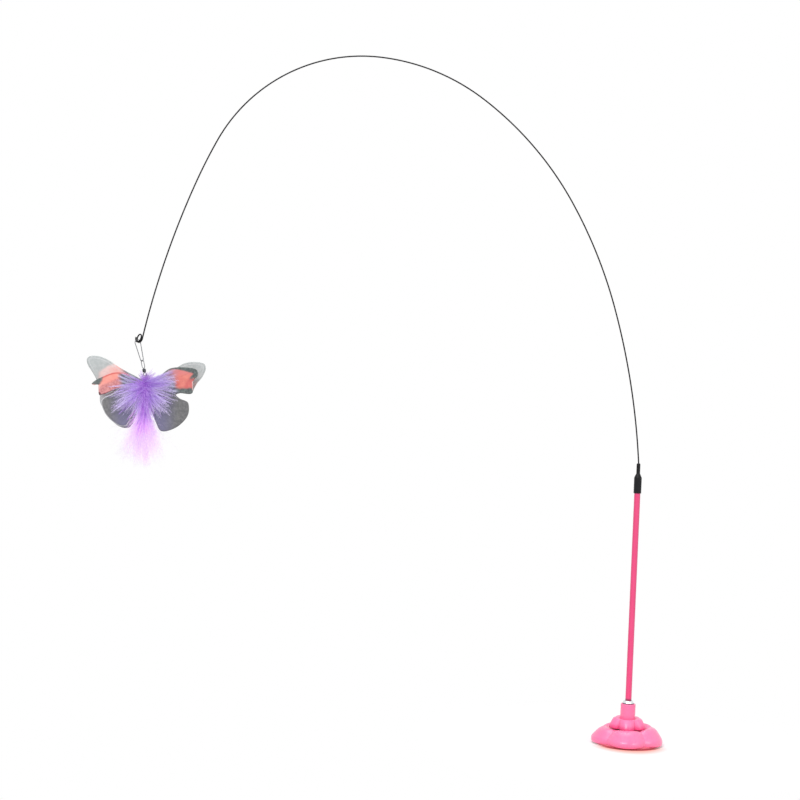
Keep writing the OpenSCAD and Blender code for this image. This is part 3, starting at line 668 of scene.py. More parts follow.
lure = {"place": Vector((-0.487029, 0.002245, 0.338945)), "wingDrop": 0.0094, "reach": 0.058}
wings = {
    "film": 0.00025, "rootX": 0.001, "rootY": 0.003875, "frontBend": 0.09, "backBend": 0.30, "grid": 0.0013,
    "frontLeft": [
        (0.03, 0.06), (0.158, 0.12), (0.275, 0.18), (0.37, 0.205), (0.53, 0.19), (0.695, 0.11),
        (0.784, 0.055), (0.842, -0.005), (0.811, -0.028), (0.749, -0.02), (0.74, -0.1), (0.717, -0.195),
        (0.631, -0.18), (0.548, -0.14), (0.427, -0.08), (0.53, -0.175), (0.631, -0.22), (0.681, -0.28),
        (0.681, -0.35), (0.658, -0.42), (0.613, -0.51), (0.539, -0.595), (0.437, -0.67), (0.361, -0.7),
        (0.265, -0.685), (0.192, -0.53), (0.139, -0.35), (0.03, -0.2)],
    "frontRight": [
        (0.03, 0.06), (0.172, 0.11), (0.233, 0.15), (0.306, 0.215), (0.41, 0.295), (0.516, 0.325),
        (0.644, 0.333), (0.791, 0.328), (0.895, 0.305), (0.928, 0.257), (0.926, 0.197), (0.873, 0.14),
        (0.851, 0.1), (0.851, -0.03), (0.845, -0.09), (0.78, -0.112), (0.596, -0.1), (0.526, -0.122),
        (0.574, -0.18), (0.671, -0.21), (0.763, -0.245), (0.793, -0.32), (0.791, -0.43), (0.741, -0.535),
        (0.622, -0.655), (0.484, -0.73), (0.361, -0.76), (0.295, -0.735), (0.244, -0.65), (0.151, -0.45),
        (0.091, -0.3), (0.03, -0.2)],
    "backLeft": [
        (0.03, 0.08), (0.17, 0.15), (0.35, 0.235), (0.5, 0.32), (0.64, 0.405), (0.765, 0.455),
        (0.88, 0.469), (0.95, 0.457), (0.987, 0.42), (0.995, 0.38), (0.97, 0.3), (0.91, 0.21),
        (0.84, 0.097), (0.785, -0.02), (0.76, -0.16), (0.75, -0.3), (0.71, -0.39), (0.645, -0.49),
        (0.55, -0.605), (0.45, -0.69), (0.345, -0.73), (0.24, -0.72), (0.175, -0.62), (0.12, -0.45),
        (0.03, -0.22)],
    "backRight": [
        (0.03, 0.08), (0.2, 0.14), (0.38, 0.23), (0.54, 0.34), (0.635, 0.397), (0.75, 0.43),
        (0.88, 0.435), (0.985, 0.413), (1.018, 0.35), (1.01, 0.28), (0.96, 0.175), (0.885, 0.08),
        (0.835, -0.015), (0.8, -0.07), (0.66, -0.09), (0.53, -0.13), (0.59, -0.19), (0.7, -0.24),
        (0.74, -0.33), (0.735, -0.43), (0.69, -0.53), (0.585, -0.645), (0.46, -0.715), (0.345, -0.74),
        (0.24, -0.65), (0.14, -0.47), (0.03, -0.22)],
}


def smoothOutline(points, steps=6):
    # a smooth curve through the points
    made = [points[0]]
    last = len(points) - 1
    for i in range(last):
        p, q, r, s = points[max(i - 1, 0)], points[i], points[i + 1], points[min(i + 2, last)]
        for k in range(1, steps + 1):
            t = k / steps
            made.append(tuple(
                0.5 * (2 * q[a] + (r[a] - p[a]) * t + (2 * p[a] - 5 * q[a] + 4 * r[a] - s[a]) * t * t
                       + (3 * q[a] - p[a] - 3 * r[a] + s[a]) * t ** 3) for a in (0, 1)))
    return made


def edgeDistance(point, outline):
    best = math.inf
    for (ax, ay), (bx, by) in zip(outline, outline[1:] + outline[:1]):
        dx, dy = bx - ax, by - ay
        share = ((point[0] - ax) * dx + (point[1] - ay) * dy) / (dx * dx + dy * dy or 1.0)
        share = min(1.0, max(0.0, share))
        best = min(best, math.hypot(point[0] - ax - share * dx, point[1] - ay - share * dy))
    return best


def addWing(name, shares, side, rootY, bendRadius, material, node, body):
    # a flat outline, cut into a fine grid, bent forward and given its thickness
    reach = lure["reach"]
    outline = [(side * x * reach, z * reach) for x, z in smoothOutline(shares)]
    bm = bmesh.new()
    bm.faces.new([bm.verts.new((x, 0.0, z)) for x, z in outline])
    xs, zs = [p[0] for p in outline], [p[1] for p in outline]
    for axis, low, high in ((0, min(xs), max(xs)), (2, min(zs), max(zs))):
        count = int((high - low) / wings["grid"])
        normal = Vector([1.0 if i == axis else 0.0 for i in range(3)])
        for k in range(1, count + 1):
            spot = normal * (low + (high - low) * k / (count + 1))
            bmesh.ops.bisect_plane(bm, geom=bm.verts[:] + bm.edges[:] + bm.faces[:], dist=1e-7,
                                   plane_co=spot, plane_no=normal)
    rim = bm.verts.layers.float.new("rim")
    middle = lure["place"] + Vector((0.0, rootY, -lure["wingDrop"]))
    for vertex in bm.verts:
        x, z = vertex.co.x, vertex.co.z
        vertex[rim] = edgeDistance((x, z), outline) * 1000.0  # in millimetres
        across = x - side * wings["rootX"]
        depth = bendRadius - math.sqrt(bendRadius ** 2 - across ** 2)
        vertex.co = middle + Vector((x, -depth - wings["film"] / 2, z))
    bmesh.ops.recalc_face_normals(bm, faces=bm.faces)
    bmesh.ops.solidify(bm, geom=bm.faces[:], thickness=wings["film"])
    bmesh.ops.recalc_face_normals(bm, faces=bm.faces)
    return addPiece(name, bm, material, [node], body)


# The wings' colours. Places are in shares of a wing's reach, s out from the body and t up from
# its root, and rim is the distance from the edge in millimetres. Two tones are mixed by a noise.
# Two places are where a colour starts and where it is full. A line is given by a place, its
# height there and its fall.

film = {
    "frontGloss": {"Roughness": 0.42, "Coat Weight": 0.15, "Coat Roughness": 0.3, "IOR": 1.4},
    "backGloss": {"Roughness": 0.38, "Coat Weight": 0.2, "Coat Roughness": 0.25, "IOR": 1.4},
    "frontAlpha": 0.96, "clearing": 0.4,  # how much of its alpha the film loses at a clear rim
    "warpNoise": (150.0, 3.0), "warp": 0.05, "blush": (150.0, 3.0), "mottle": (420.0, 4.0, 0.6),
    "skin": (500.0, 3.0),
    "veinCentre": (0.05, 0.06), "veinCount": 24.0, "veinWander": (60.0, 2.0), "veinSway": 2.2,
    "veinWidth": 0.2, "veinBump": 0.7, "bumpStrength": 0.25, "bumpDepth": 0.00012,
    "warmVein": tone(116, 72, 76), "warmVeinShare": 0.16,
    "greyVein": tone(84, 84, 92), "greyVeinShare": 0.3,
    "streaks": (tone(104, 108, 124), tone(168, 172, 190)), "streakCount": 46.0,
    "streakWander": (90.0, 3.0), "streakSway": 5.0, "streakEdges": (0.2, 0.85),
    "hind": (tone(102, 103, 104), tone(126, 125, 126)), "cutEdge": (-0.012, 0.012),
    "hindInner": tone(116, 112, 150), "hindInnerFade": (0.62, 0.3), "hindInnerShare": 0.7,
    "hindRim": tone(92, 92, 94), "hindRimFade": (2.4, 0.6), "hindRimShare": 0.25,
}
leftFilm = {
    "coral": (tone(255, 170, 156), tone(250, 152, 140)), "coralLine": (0.66, -0.01, 0.59),
    "coralEdge": (-0.05, 0.04), "brown": (tone(190, 112, 116), tone(226, 158, 156)),
    "charcoal": (tone(74, 84, 84), tone(112, 122, 120)), "streakLean": 0.25, "streakEdge": (0.43, 0.33),
    "upperRim": tone(206, 98, 94), "upperRimWidth": (2.2, 0.8), "upperRimFoot": (0.03, 0.09),
    "upperRimStart": (0.2, 0.3), "upperRimShare": 0.85,
    "tipLean": 0.25, "tipEdge": (0.685, 0.735), "tipFoot": (-0.035, -0.005),
    "corner": tone(232, 196, 194), "cornerEdge": (0.715, 0.735), "cornerTop": (-0.01, -0.03),
    "cutLine": (0.44, -0.08, 0.45),  # between fore and hind wing
    "cutRim": tone(92, 44, 54), "cutRimWidth": (1.9, 0.9), "cutRimTop": (0.075, 0.04),
    "clearRim": tone(222, 222, 225), "clearRimWidth": (0.9, 0.4),
}
rightFilm = {
    "coral": (tone(236, 142, 128), tone(214, 112, 108)), "hemLine": (0.8, 0.0, -0.05),
    "hemEdge": (-0.035, 0.012), "deepCoral": tone(218, 104, 108), "deepLean": 1.2,
    "deepEdge": (0.72, 0.98), "deepShare": 0.6, "highCoral": tone(222, 132, 134), "highLean": 0.06,
    "highEdge": (0.13, 0.2), "highShare": 0.7, "charcoal": (tone(78, 86, 86), tone(114, 122, 120)),
    "streakLean": 0.3, "streakEdge": (0.60, 0.50),
    "pink": tone(204, 150, 158), "pinkStart": (0.30, 0.42), "pinkEnd": (0.62, 0.5),
    "pinkFoot": (0.06, 0.14), "pinkShare": 0.6,
    "borderWidth": 0.9, "borderGrowth": 3.6, "borderSpan": (0.4, 0.85), "borderEdge": (1.0, -0.7),
    "borderFoot": (0.12, 0.18), "margin": tone(250, 214, 212), "marginEdge": (0.83, 0.85),
    "marginTop": (0.13, 0.10), "marginFoot": (-0.06, -0.03), "cutLine": (0.51, -0.122, 0.4),
}
smokyFilm = {
    "alpha": 0.84, "rimAlpha": 0.1, "mottle": (300.0, 4.0, 0.6), "skin": (420.0, 3.0), "veinBump": 0.6,
    "bumpStrength": 0.2, "bumpDepth": 0.0001, "smoke": (tone(180, 186, 186), tone(196, 201, 201)),
    "hind": tone(214, 214, 218), "hindFade": (0.0, -0.2), "hindShare": 0.8,
    "vein": tone(164, 166, 170), "veinShare": 0.2,
    "bandLine": (0.72, 0.245, 0.6), "band": tone(250, 212, 208), "bandTop": (0.03, -0.03),
    "bandFoot": (-0.4, -0.3), "bandEnd": (0.82, 0.74), "bandStart": (0.26, 0.36), "bandShare": 0.8,
    "deepBand": tone(250, 176, 168), "deepTop": (-0.02, -0.10), "deepEnd": (0.68, 0.5), "deepShare": 0.6,
    "blush": tone(252, 222, 218), "blushEdge": (0.8, 0.86), "blushTop": (0.14, 0.04), "blushShare": 0.8,
    "slateEdge": (0.47, 0.3), "slateShare": 0.9, "rim": tone(128, 128, 132), "rimWidth": (0.9, 0.35),
    "rimShare": 0.15, "rimSlateShare": 0.7,
    "seam": tone(226, 228, 230), "seamAt": 2.2, "seamWidth": (0.7, 0.2), "seamFoot": (0.1, 0.3),
    "seamShare": 0.4,
}


def wingShares(finish, side):
    x, _, z = finish.axes()
    warp = (finish.speck(*film["warpNoise"]) - 0.5) * film["warp"]
    across = (x - lure["place"].x) * (side / lure["reach"])
    up = (z - (lure["place"].z - lure["wingDrop"])) * (1.0 / lure["reach"])
    return across + warp, up + warp


def overLine(s, t, line):
    place, height, fall = line
    return t + (s - place) * fall - height


def fanAngle(finish, s, t):
    right, up = film["veinCentre"]
    return finish.add("ShaderNodeMath", {"operation": "ARCTAN2"}, {0: t + up, 1: s + right})


def veins(finish, s, t):
    sway = finish.speck(*film["veinWander"]) * film["veinSway"]
    lines = (fanAngle(finish, s, t) * film["veinCount"] + sway).wave().size()
    return 1.0 - lines.ramp(0.0, film["veinWidth"])


def innerStreaks(finish, s, t):
    # long pale and slate streaks that fan out from the body
    sway = finish.speck(*film["streakWander"]) * film["streakSway"]
    fan = (fanAngle(finish, s, t) * film["streakCount"] + sway).wave() * 0.5 + 0.5
    return finish.mixed(fan.ramp(*film["streakEdges"]), *film["streaks"])


def hindGrey(finish, s, rim, mottle, vein):
    return finish.layered(
        finish.mixed(mottle.spread(), *film["hind"]),
        (s.ramp(*film["hindInnerFade"]) * film["hindInnerShare"], film["hindInner"]),
        (rim.ramp(*film["hindRimFade"]) * film["hindRimShare"], film["hindRim"]),
        (vein * film["greyVeinShare"], film["greyVein"]))


def frontLeftFilm():
    finish, look = Finish("frontFilmLeft", film["frontGloss"]), leftFilm
    s, t = wingShares(finish, -1)
    rim, vein, mottle = finish.own("rim"), veins(finish, s, t), finish.speck(*film["mottle"])
    coral = finish.mixed(finish.speck(*film["blush"]).spread(), *look["coral"])
    brown = finish.mixed(mottle.spread(), *look["brown"])
    charcoal = finish.mixed(mottle.spread(), *look["charcoal"])
    inner = (s - t * look["streakLean"]).ramp(*look["streakEdge"])
    upperRim = (rim.ramp(*look["upperRimWidth"]) * t.ramp(*look["upperRimFoot"])
                * s.ramp(*look["upperRimStart"]) * look["upperRimShare"])
    tip = (s + t * look["tipLean"]).ramp(*look["tipEdge"]) * t.ramp(*look["tipFoot"])
    corner = s.ramp(*look["cornerEdge"]) * t.ramp(*look["cornerTop"])
    overCut = overLine(s, t, look["cutLine"])
    cutRim = rim.ramp(*look["cutRimWidth"]) * overCut.ramp(*look["cutRimTop"])
    wing = finish.layered(
        brown, (overLine(s, t, look["coralLine"]).ramp(*look["coralEdge"]), coral),
        (inner, innerStreaks(finish, s, t)), (upperRim, look["upperRim"]), (tip, charcoal),
        (corner, look["corner"]), (cutRim, look["cutRim"]),
        (vein * film["warmVeinShare"], film["warmVein"]))
    fore = overCut.ramp(*film["cutEdge"])
    clear = rim.ramp(*look["clearRimWidth"]) * (1.0 - fore)
    grey = hindGrey(finish, s, rim, mottle, vein)
    finish.feed("Base Color", finish.layered(grey, (fore, wing), (clear, look["clearRim"])))
    finish.feed("Alpha", film["frontAlpha"] - clear * film["clearing"])
    finish.filmBump(vein, film)
    return finish.material


def frontRightFilm():
    finish, look = Finish("frontFilmRight", film["frontGloss"]), rightFilm
    s, t = wingShares(finish, 1)
    rim, vein, mottle = finish.own("rim"), veins(finish, s, t), finish.speck(*film["mottle"])
    deep = (s * look["deepLean"] - t).ramp(*look["deepEdge"]) * look["deepShare"]
    high = (t - s * look["highLean"]).ramp(*look["highEdge"]) * look["highShare"]
    coral = finish.layered(finish.mixed(finish.speck(*film["blush"]).spread(), *look["coral"]),
                           (deep, look["deepCoral"]), (high, look["highCoral"]))
    charcoal = finish.mixed(mottle.spread(), *look["charcoal"])
    inner = (s + t * look["streakLean"]).ramp(*look["streakEdge"])
    pink = (s.ramp(*look["pinkStart"]) * s.ramp(*look["pinkEnd"]) * t.ramp(*look["pinkFoot"])
            * look["pinkShare"])
    inset = rim - look["borderWidth"] - s.ramp(*look["borderSpan"]) * look["borderGrowth"]
    border = inset.ramp(*look["borderEdge"]) * t.ramp(*look["borderFoot"])
    margin = s.ramp(*look["marginEdge"]) * t.ramp(*look["marginTop"]) * t.ramp(*look["marginFoot"])
    wing = finish.layered(
        charcoal, (overLine(s, t, look["hemLine"]).ramp(*look["hemEdge"]), coral),
        (inner, innerStreaks(finish, s, t)), (pink, look["pink"]), (border, charcoal),
        (margin, look["margin"]), (vein * film["warmVeinShare"], film["warmVein"]))
    fore = overLine(s, t, look["cutLine"]).ramp(*film["cutEdge"])
    finish.feed("Base Color", finish.mixed(fore, hindGrey(finish, s, rim, mottle, vein), wing))
    finish.feed("Alpha", film["frontAlpha"] - margin * film["clearing"])
    finish.filmBump(vein, film)
    return finish.material


def backFilm(name, side):
    finish, look = Finish(name, film["backGloss"]), smokyFilm
    s, t = wingShares(finish, side)
    rim, vein, mottle = finish.own("rim"), veins(finish, s, t), finish.speck(*look["mottle"])
    colour = finish.layered(finish.mixed(mottle.spread(), *look["smoke"]),
                            (t.ramp(*look["hindFade"]) * look["hindShare"], look["hind"]))
    if side < 0:
        over = overLine(s, t, look["bandLine"])
        band = (over.ramp(*look["bandTop"]) * over.ramp(*look["bandFoot"])
                * s.ramp(*look["bandEnd"]) * s.ramp(*look["bandStart"]))
        deep = over.ramp(*look["deepTop"]) * s.ramp(*look["deepEnd"]) * band * look["deepShare"]
        colour = finish.layered(colour, (band * look["bandShare"], look["band"]), (deep, look["deepBand"]))
    else:
        blush = s.ramp(*look["blushEdge"]) * t.ramp(*look["blushTop"]) * look["blushShare"]
        colour = finish.mixed(blush, colour, look["blush"])
    slate, line = s.ramp(*look["slateEdge"]), rim.ramp(*look["rimWidth"])
    seam = (rim - look["seamAt"]).size().ramp(*look["seamWidth"]) * t.ramp(*look["seamFoot"])
    finish.feed("Base Color", finish.layered(
        colour, (slate * look["slateShare"], innerStreaks(finish, s, t)),
        (vein * look["veinShare"], look["vein"]),
        (line * (look["rimShare"] + slate * look["rimSlateShare"]), look["rim"]),
        (seam * look["seamShare"], look["seam"])))
    finish.feed("Alpha", look["alpha"] + line * look["rimAlpha"])
    finish.filmBump(vein, look)
    return finish.material


for name, shares, side, rootY, bend, material, slotName, node, body in [
    ("frontWingLeftFilm", "frontLeft", -1, -wings["rootY"], "frontBend", frontLeftFilm(),
     "front_film", "front_wing_left", "left_wing"),
    ("frontWingRightFilm", "frontRight", 1, -wings["rootY"], "frontBend", frontRightFilm(),
     "front_film", "front_wing_right", "right_wing"),
    ("backWingLeftFilm", "backLeft", -1, wings["rootY"], "backBend", backFilm("backFilmLeft", -1),
     "back_film", "back_wing_left", "butterfly"),
    ("backWingRightFilm", "backRight", 1, wings["rootY"], "backBend", backFilm("backFilmRight", 1),
     "back_film", "back_wing_right", "butterfly"),
]:
    addWing(name, wings[shares], side, rootY, wings[bend], material, node, body)
print("wings made")


# body, binding and feathers

strand = {"middleAt": 0.45, "dark": (0.0, 0.4, 0.8, 0.0), "pale": (0.65, 1.0, 0.0, 0.9)}


def plumeFinish(name, root, middle, tip, glow):
    finish = Finish(name, {"Roughness": 0.75, "Sheen Weight": 0.3, "Specular IOR Level": 0.2,
                           "Emission Strength": glow})
    shade = finish.own("shade")
    stops = [(0.0, root), (strand["middleAt"], middle), (1.0, tip)]
    colour = finish.add("ShaderNodeValToRGB", {"stops": stops}, {0: finish.own("along")})
    colour = finish.layered(colour, (shade.ramp(*strand["dark"]), root), (shade.ramp(*strand["pale"]), tip))
    finish.feed("Base Color", colour)
    # the strands emit their own colour: a painted glow standing in for light let through them
    finish.feed("Emission Color", colour)
    return finish.material


plumeLooks = {  # colours at root, middle and tip, and a faint glow for the light that strands let by
    "violetPlume": (tone(116, 50, 178), tone(168, 106, 214), tone(204, 166, 236), 0.10),
    "lilacPlume": (tone(152, 98, 206), tone(188, 160, 226), tone(216, 206, 238), 0.12),
    "rosePlume": (tone(176, 96, 216), tone(220, 152, 240), tone(238, 200, 247), 0.15),
    "palePlume": (tone(234, 202, 245), tone(242, 226, 249), tone(250, 243, 253), 0.2),
}
violetPlume, lilacPlume, rosePlume, palePlume = [
    plumeFinish(name, *look) for name, look in plumeLooks.items()]


plush = {"tones": (tone(104, 52, 168), tone(168, 118, 222)), "tuft": (1400.0, 4.0, 0.7),
         "bumpStrength": 0.8, "bumpDepth": 0.0006}
twist = {"tones": (tone(92, 44, 150), tone(150, 100, 210)), "fibre": (1.0, 3.0),
         "fibreScales": (600.0, 600.0, 9000.0), "bumpStrength": 0.6, "bumpDepth": 0.0001}


def pileFinish():
    finish = Finish("violetPile", {"Roughness": 0.85, "Sheen Weight": 0.5})
    tuft = finish.speck(*plush["tuft"])
    finish.feed("Base Color", finish.mixed(tuft.spread(), *plush["tones"]))
    finish.bump(tuft, plush["bumpStrength"], plush["bumpDepth"])
    return finish.material


def threadFinish():
    finish = Finish("bindingThread", {"Roughness": 0.6, "Sheen Weight": 0.4})
    fibre = finish.speck(*twist["fibre"], vector=finish.stretched(*twist["fibreScales"]))
    finish.feed("Base Color", finish.mixed(fibre.spread(), *twist["tones"]))
    finish.bump(fibre, twist["bumpStrength"], twist["bumpDepth"])
    return finish.material


pile, thread = pileFinish(), threadFinish()
trunk = {
    "radius": 0.0035, "top": -0.00285, "length": 0.041, "endShare": 0.42, "endDrop": 0.0003,
    "taper": 0.0042, "shoulder": 0.86, "shoulderDrop": 0.55, "waist": 0.0031, "turnSteps": 40,
    "bindings": [-0.00865, -0.02417], "bindingWidth": 0.0016, "grooveEdge": 0.0009,
    "grooveFloor": 0.0003, "threadPlay": 0.0001, "threadRadius": 0.000156, "threadTurns": 5,
    "threadSides": 8, "threadSteps": 48, "pileDepth": 0.00016, "pileScale": 1900.0,
}


def addTrunk():
    radius, top, taper = trunk["radius"], trunk["top"], trunk["taper"]
    low, floor = top - trunk["length"], trunk["waist"] - trunk["threadPlay"]
    tip, shoulder = radius * trunk["endShare"], radius * trunk["shoulder"]
    drop = taper * trunk["shoulderDrop"]
    profile = [(0.0, low), (tip, low + trunk["endDrop"]), (shoulder, low + drop), (radius, low + taper)]
    for start in sorted(trunk["bindings"]):
        end = start + trunk["bindingWidth"]
        profile += [(radius, start - trunk["grooveEdge"]), (floor, start - trunk["grooveFloor"]),
                    (floor, end + trunk["grooveFloor"]), (radius, end + trunk["grooveEdge"])]
    profile += [(radius, top - taper), (shoulder, top - drop), (tip, top - trunk["endDrop"]), (0.0, top)]
    bm = spinProfile(profile, lure["place"], steps=trunk["turnSteps"])
    bmesh.ops.subdivide_edges(bm, edges=bm.edges, cuts=1, use_grid_fill=True)
    for vertex in bm.verts:
        out = Vector((vertex.co.x - lure["place"].x, vertex.co.y - lure["place"].y, 0.0))
        if out.length > radius / 2:  # the flank and not the ends
            height = trunk["pileDepth"] * (noise.noise(vertex.co * trunk["pileScale"]) - 0.5)
            vertex.co += out.normalized() * height
    return addPiece("plushTrunk", bm, pile, ["butterfly_body"], "butterfly")


def addBinding():
    bm = bmesh.new()
    turn = Matrix.Rotation(math.radians(90.0), 4, "X")
    for start in trunk["bindings"]:
        for k in range(trunk["threadTurns"]):
            height = start + trunk["bindingWidth"] * (k + 0.5) / trunk["threadTurns"]
            place = lure["place"] + Vector((trunk["waist"] + trunk["threadPlay"], 0.0, height))
            ring = bmesh.ops.create_circle(
                bm, segments=trunk["threadSides"], radius=trunk["threadRadius"],
                matrix=Matrix.Translation(place) @ turn)["verts"]
            bmesh.ops.spin(bm, geom=ringEdges(ring), cent=lure["place"], axis=(0, 0, 1),
                           angle=2 * math.pi, steps=trunk["threadSteps"], use_merge=True,
                           use_duplicate=False)
    bmesh.ops.remove_doubles(bm, verts=bm.verts, dist=1e-7)
    bmesh.ops.recalc_face_normals(bm, faces=bm.faces)
    return addPiece("bindingThreads", bm, thread, ["thread_binding"], "butterfly")


barb = {  # in shares of a barb's length
    "shapes": 6, "shaftSteps": 8, "shaftWidth": 0.016, "shaftTaper": 0.85, "firstAt": 0.06,
    "along": 0.9, "rootReach": 1.15, "reachLoss": 0.75, "reachRange": (0.7, 1.25),
    "lift": (-30.0, 30.0), "widths": (0.7, 1.2),
    "short": dict(barbules=22, length=0.22, angles=(22.0, 50.0), halfWidth=0.0060),
    "long": dict(barbules=26, length=0.20, angles=(10.0, 26.0), halfWidth=0.0026),
    "fluffy": dict(barbules=34, length=0.26, angles=(18.0, 48.0), halfWidth=0.0040),
}


def barbTemplate(seed, barbules, length, angles, halfWidth):
    # one feather barb along +X, one unit long and flat in XY, with fine barbules down both sides
    dice = random.Random(seed)
    bm = bmesh.new()
    bmesh.ops.create_grid(bm, x_segments=barb["shaftSteps"], y_segments=1, size=0.5,
                          matrix=Matrix.Translation((0.5, 0.0, 0.0)))
    for vertex in bm.verts:
        vertex.co.y *= barb["shaftWidth"] * (1.0 - barb["shaftTaper"] * vertex.co.x)
    for k in range(barbules):
        side = 1 if k % 2 else -1
        start = barb["firstAt"] + barb["along"] * (k + dice.random()) / barbules
        reach = length * (barb["rootReach"] - barb["reachLoss"] * start) * dice.uniform(*barb["reachRange"])
        lift = Matrix.Rotation(math.radians(dice.uniform(*barb["lift"])), 4, "Y")
        turn = Matrix.Rotation(side * math.radians(dice.uniform(*angles)), 4, "Z") @ lift
        # a three-sided circle of radius 1 is 1.5 long, and its middle lies a third of the way along
        shape = Matrix.Diagonal((reach / 1.5, halfWidth, 1.0, 1.0))
        bmesh.ops.create_circle(bm, cap_ends=True, segments=3, radius=1.0,
                                matrix=Matrix.Translation((start, 0.0, 0.0)) @ turn
                                @ Matrix.Translation((reach / 3.0, 0.0, 0.0)) @ shape)
    mesh = bpy.data.meshes.new("barbShape")
    bm.to_mesh(mesh)
    bm.free()
    return mesh


def barbShapes(kind, firstSeed):
    return [barbTemplate(firstSeed + number, **barb[kind]) for number in range(barb["shapes"])]


def addBarb(bm, template, layers, root, direction, outward, length, droop, curl, width, shade):
    # lays a template barb from root along direction, sagging by droop and curling outward
    first = len(bm.verts)
    bm.from_mesh(template)
    bm.verts.ensure_lookup_table()
    direction = direction.normalized()
    side = direction.cross(outward).normalized()
    normal = side.cross(direction).normalized()
    along, tint = layers
    for vertex in bm.verts[first:]:
        x, y, z = vertex.co
        bend = x * x
        sag = Vector((0.0, 0.0, -droop * bend)) + outward * (curl * bend)
        vertex.co = (root + direction * (x * length) + sag + side * (y * length * width)
                     + normal * (z * length))
        vertex[along] = x
        vertex[tint] = shade


def plume(name, barbs, shapes, material, node, body="butterfly"):
    bm = bmesh.new()
    layers = bm.verts.layers.float.new("along"), bm.verts.layers.float.new("shade")
    for index, lay in enumerate(barbs):
        addBarb(bm, shapes[index % len(shapes)], layers, **lay)
    return addPiece(name, bm, material, [node], body)


shortBarbs = barbShapes("short", firstSeed=0)
longBarbs = barbShapes("long", firstSeed=10)
fluffBarbs = barbShapes("fluffy", firstSeed=20)
# each tuft's material, barbs and body, then each bunch's count, angles, lengths, heights and leans
frontTufts = {
    "violetPlumeFront": (violetPlume, shortBarbs, "butterfly", [
        (170, (0.0, 360.0), (0.004, 0.009), (-0.007, 0.005), (0.3, 0.9)),
        (150, (235.0, 305.0), (0.008, 0.019), (-0.022, 0.0), (0.05, 0.4)),
        (46, (52.0, 128.0), (0.006, 0.0105), (0.0, 0.004), (0.05, 0.3)),
        (60, (150.0, 395.0), (0.008, 0.014), (-0.006, 0.003), (0.1, 0.4))]),
    "lilacPlumeLeft": (lilacPlume, longBarbs, "left_wing", [
        (74, (184.0, 228.0), (0.022, 0.036), (-0.006, 0.003), (0.02, 0.16)),
        (14, (150.0, 182.0), (0.018, 0.027), (-0.002, 0.003), (0.02, 0.12)),
        (36, (228.0, 252.0), (0.018, 0.028), (-0.010, 0.0), (0.02, 0.16)),
        (44, (232.0, 262.0), (0.014, 0.024), (-0.018, -0.006), (0.02, 0.16))]),
    "lilacPlumeRight": (lilacPlume, longBarbs, "right_wing", [
        (112, (-4.0, 34.0), (0.018, 0.033), (-0.004, 0.004), (0.02, 0.16)),
        (92, (304.0, 356.0), (0.018, 0.033), (-0.010, 0.002), (0.02, 0.16)),
        (44, (278.0, 308.0), (0.014, 0.025), (-0.018, -0.006), (0.02, 0.16))]),
    "rosePlumeFront": (rosePlume, longBarbs, "butterfly", [
        (80, (252.0, 284.0), (0.014, 0.027), (-0.030, -0.010), (0.0, 0.2)),
        (150, (222.0, 306.0), (0.012, 0.021), (-0.034, -0.016), (0.0, 0.2))]),
}


frontRoots = {"middle": Vector((0.001, -0.0052, -lure["wingDrop"])), "spread": 0.0016,
              "depth": 0.002, "droop": (-0.05, 0.16), "firstSeed": 40}
backTuft = {"count": 320, "seed": 12, "middle": Vector((0.0, 0.0048, -lure["wingDrop"])), "length": 0.017,
            "shares": (0.5, 1.0), "below": 1.15, "above": 0.9, "leans": (0.12, 0.4),
            "droop": (0.02, 0.15), "curl": (0.0, 0.12), "spread": 0.0012, "depth": 0.001, "height": 0.003}
tailTuft = {"count": 860, "seed": 13, "middle": (0.001, -0.001, -0.041),
            "spread": (0.0022, 0.0016, 0.002), "lengths": (0.016, 0.049), "tilt": (-0.08, 0.36),
            "depth": 0.25, "lean": 0.07, "curl": (0.0, 0.12)}


def laid(dice, root, direction, outward, length, droop, curl):
    return dict(root=lure["place"] + root, direction=direction, outward=outward, length=length,
                droop=droop, curl=curl, width=dice.uniform(*barb["widths"]), shade=dice.random())


def frontBarbs(bunches, seed):
    # the barbs follow the front wings' bend, so that they lie on the film
    dice = random.Random(seed)
    made = []
    for count, angles, lengths, heights, leans in bunches:
        for _ in range(count):
            angle = math.radians(dice.uniform(*angles))
            length = dice.uniform(*lengths)
            root = frontRoots["middle"] + Vector((
                dice.gauss(0.0, frontRoots["spread"]), -dice.uniform(0.0, frontRoots["depth"]),
                dice.uniform(*heights)))
            direction = Vector((math.cos(angle), -dice.uniform(*leans), math.sin(angle)))
            across = length * math.cos(angle)
            made.append(laid(dice, root, direction, Vector((0.0, -1.0, 0.0)), length,
                             length * dice.uniform(*frontRoots["droop"]),
                             across ** 2 / (2 * wings["frontBend"])))
    return made


def backBarbs():
    dice = random.Random(backTuft["seed"])
    made = []
    for _ in range(backTuft["count"]):
        angle = dice.uniform(0.0, 2 * math.pi)
        longer = backTuft["below"] if math.sin(angle) < 0 else backTuft["above"]
        length = backTuft["length"] * dice.uniform(*backTuft["shares"]) * longer
        root = backTuft["middle"] + Vector((
            dice.gauss(0.0, backTuft["spread"]), dice.uniform(0.0, backTuft["depth"]),
            dice.gauss(0.0, backTuft["height"])))
        direction = Vector((math.cos(angle), dice.uniform(*backTuft["leans"]), math.sin(angle)))
        made.append(laid(dice, root, direction, Vector((0.0, 1.0, 0.0)), length,
                         length * dice.uniform(*backTuft["droop"]),
                         length * dice.uniform(*backTuft["curl"])))
    return made


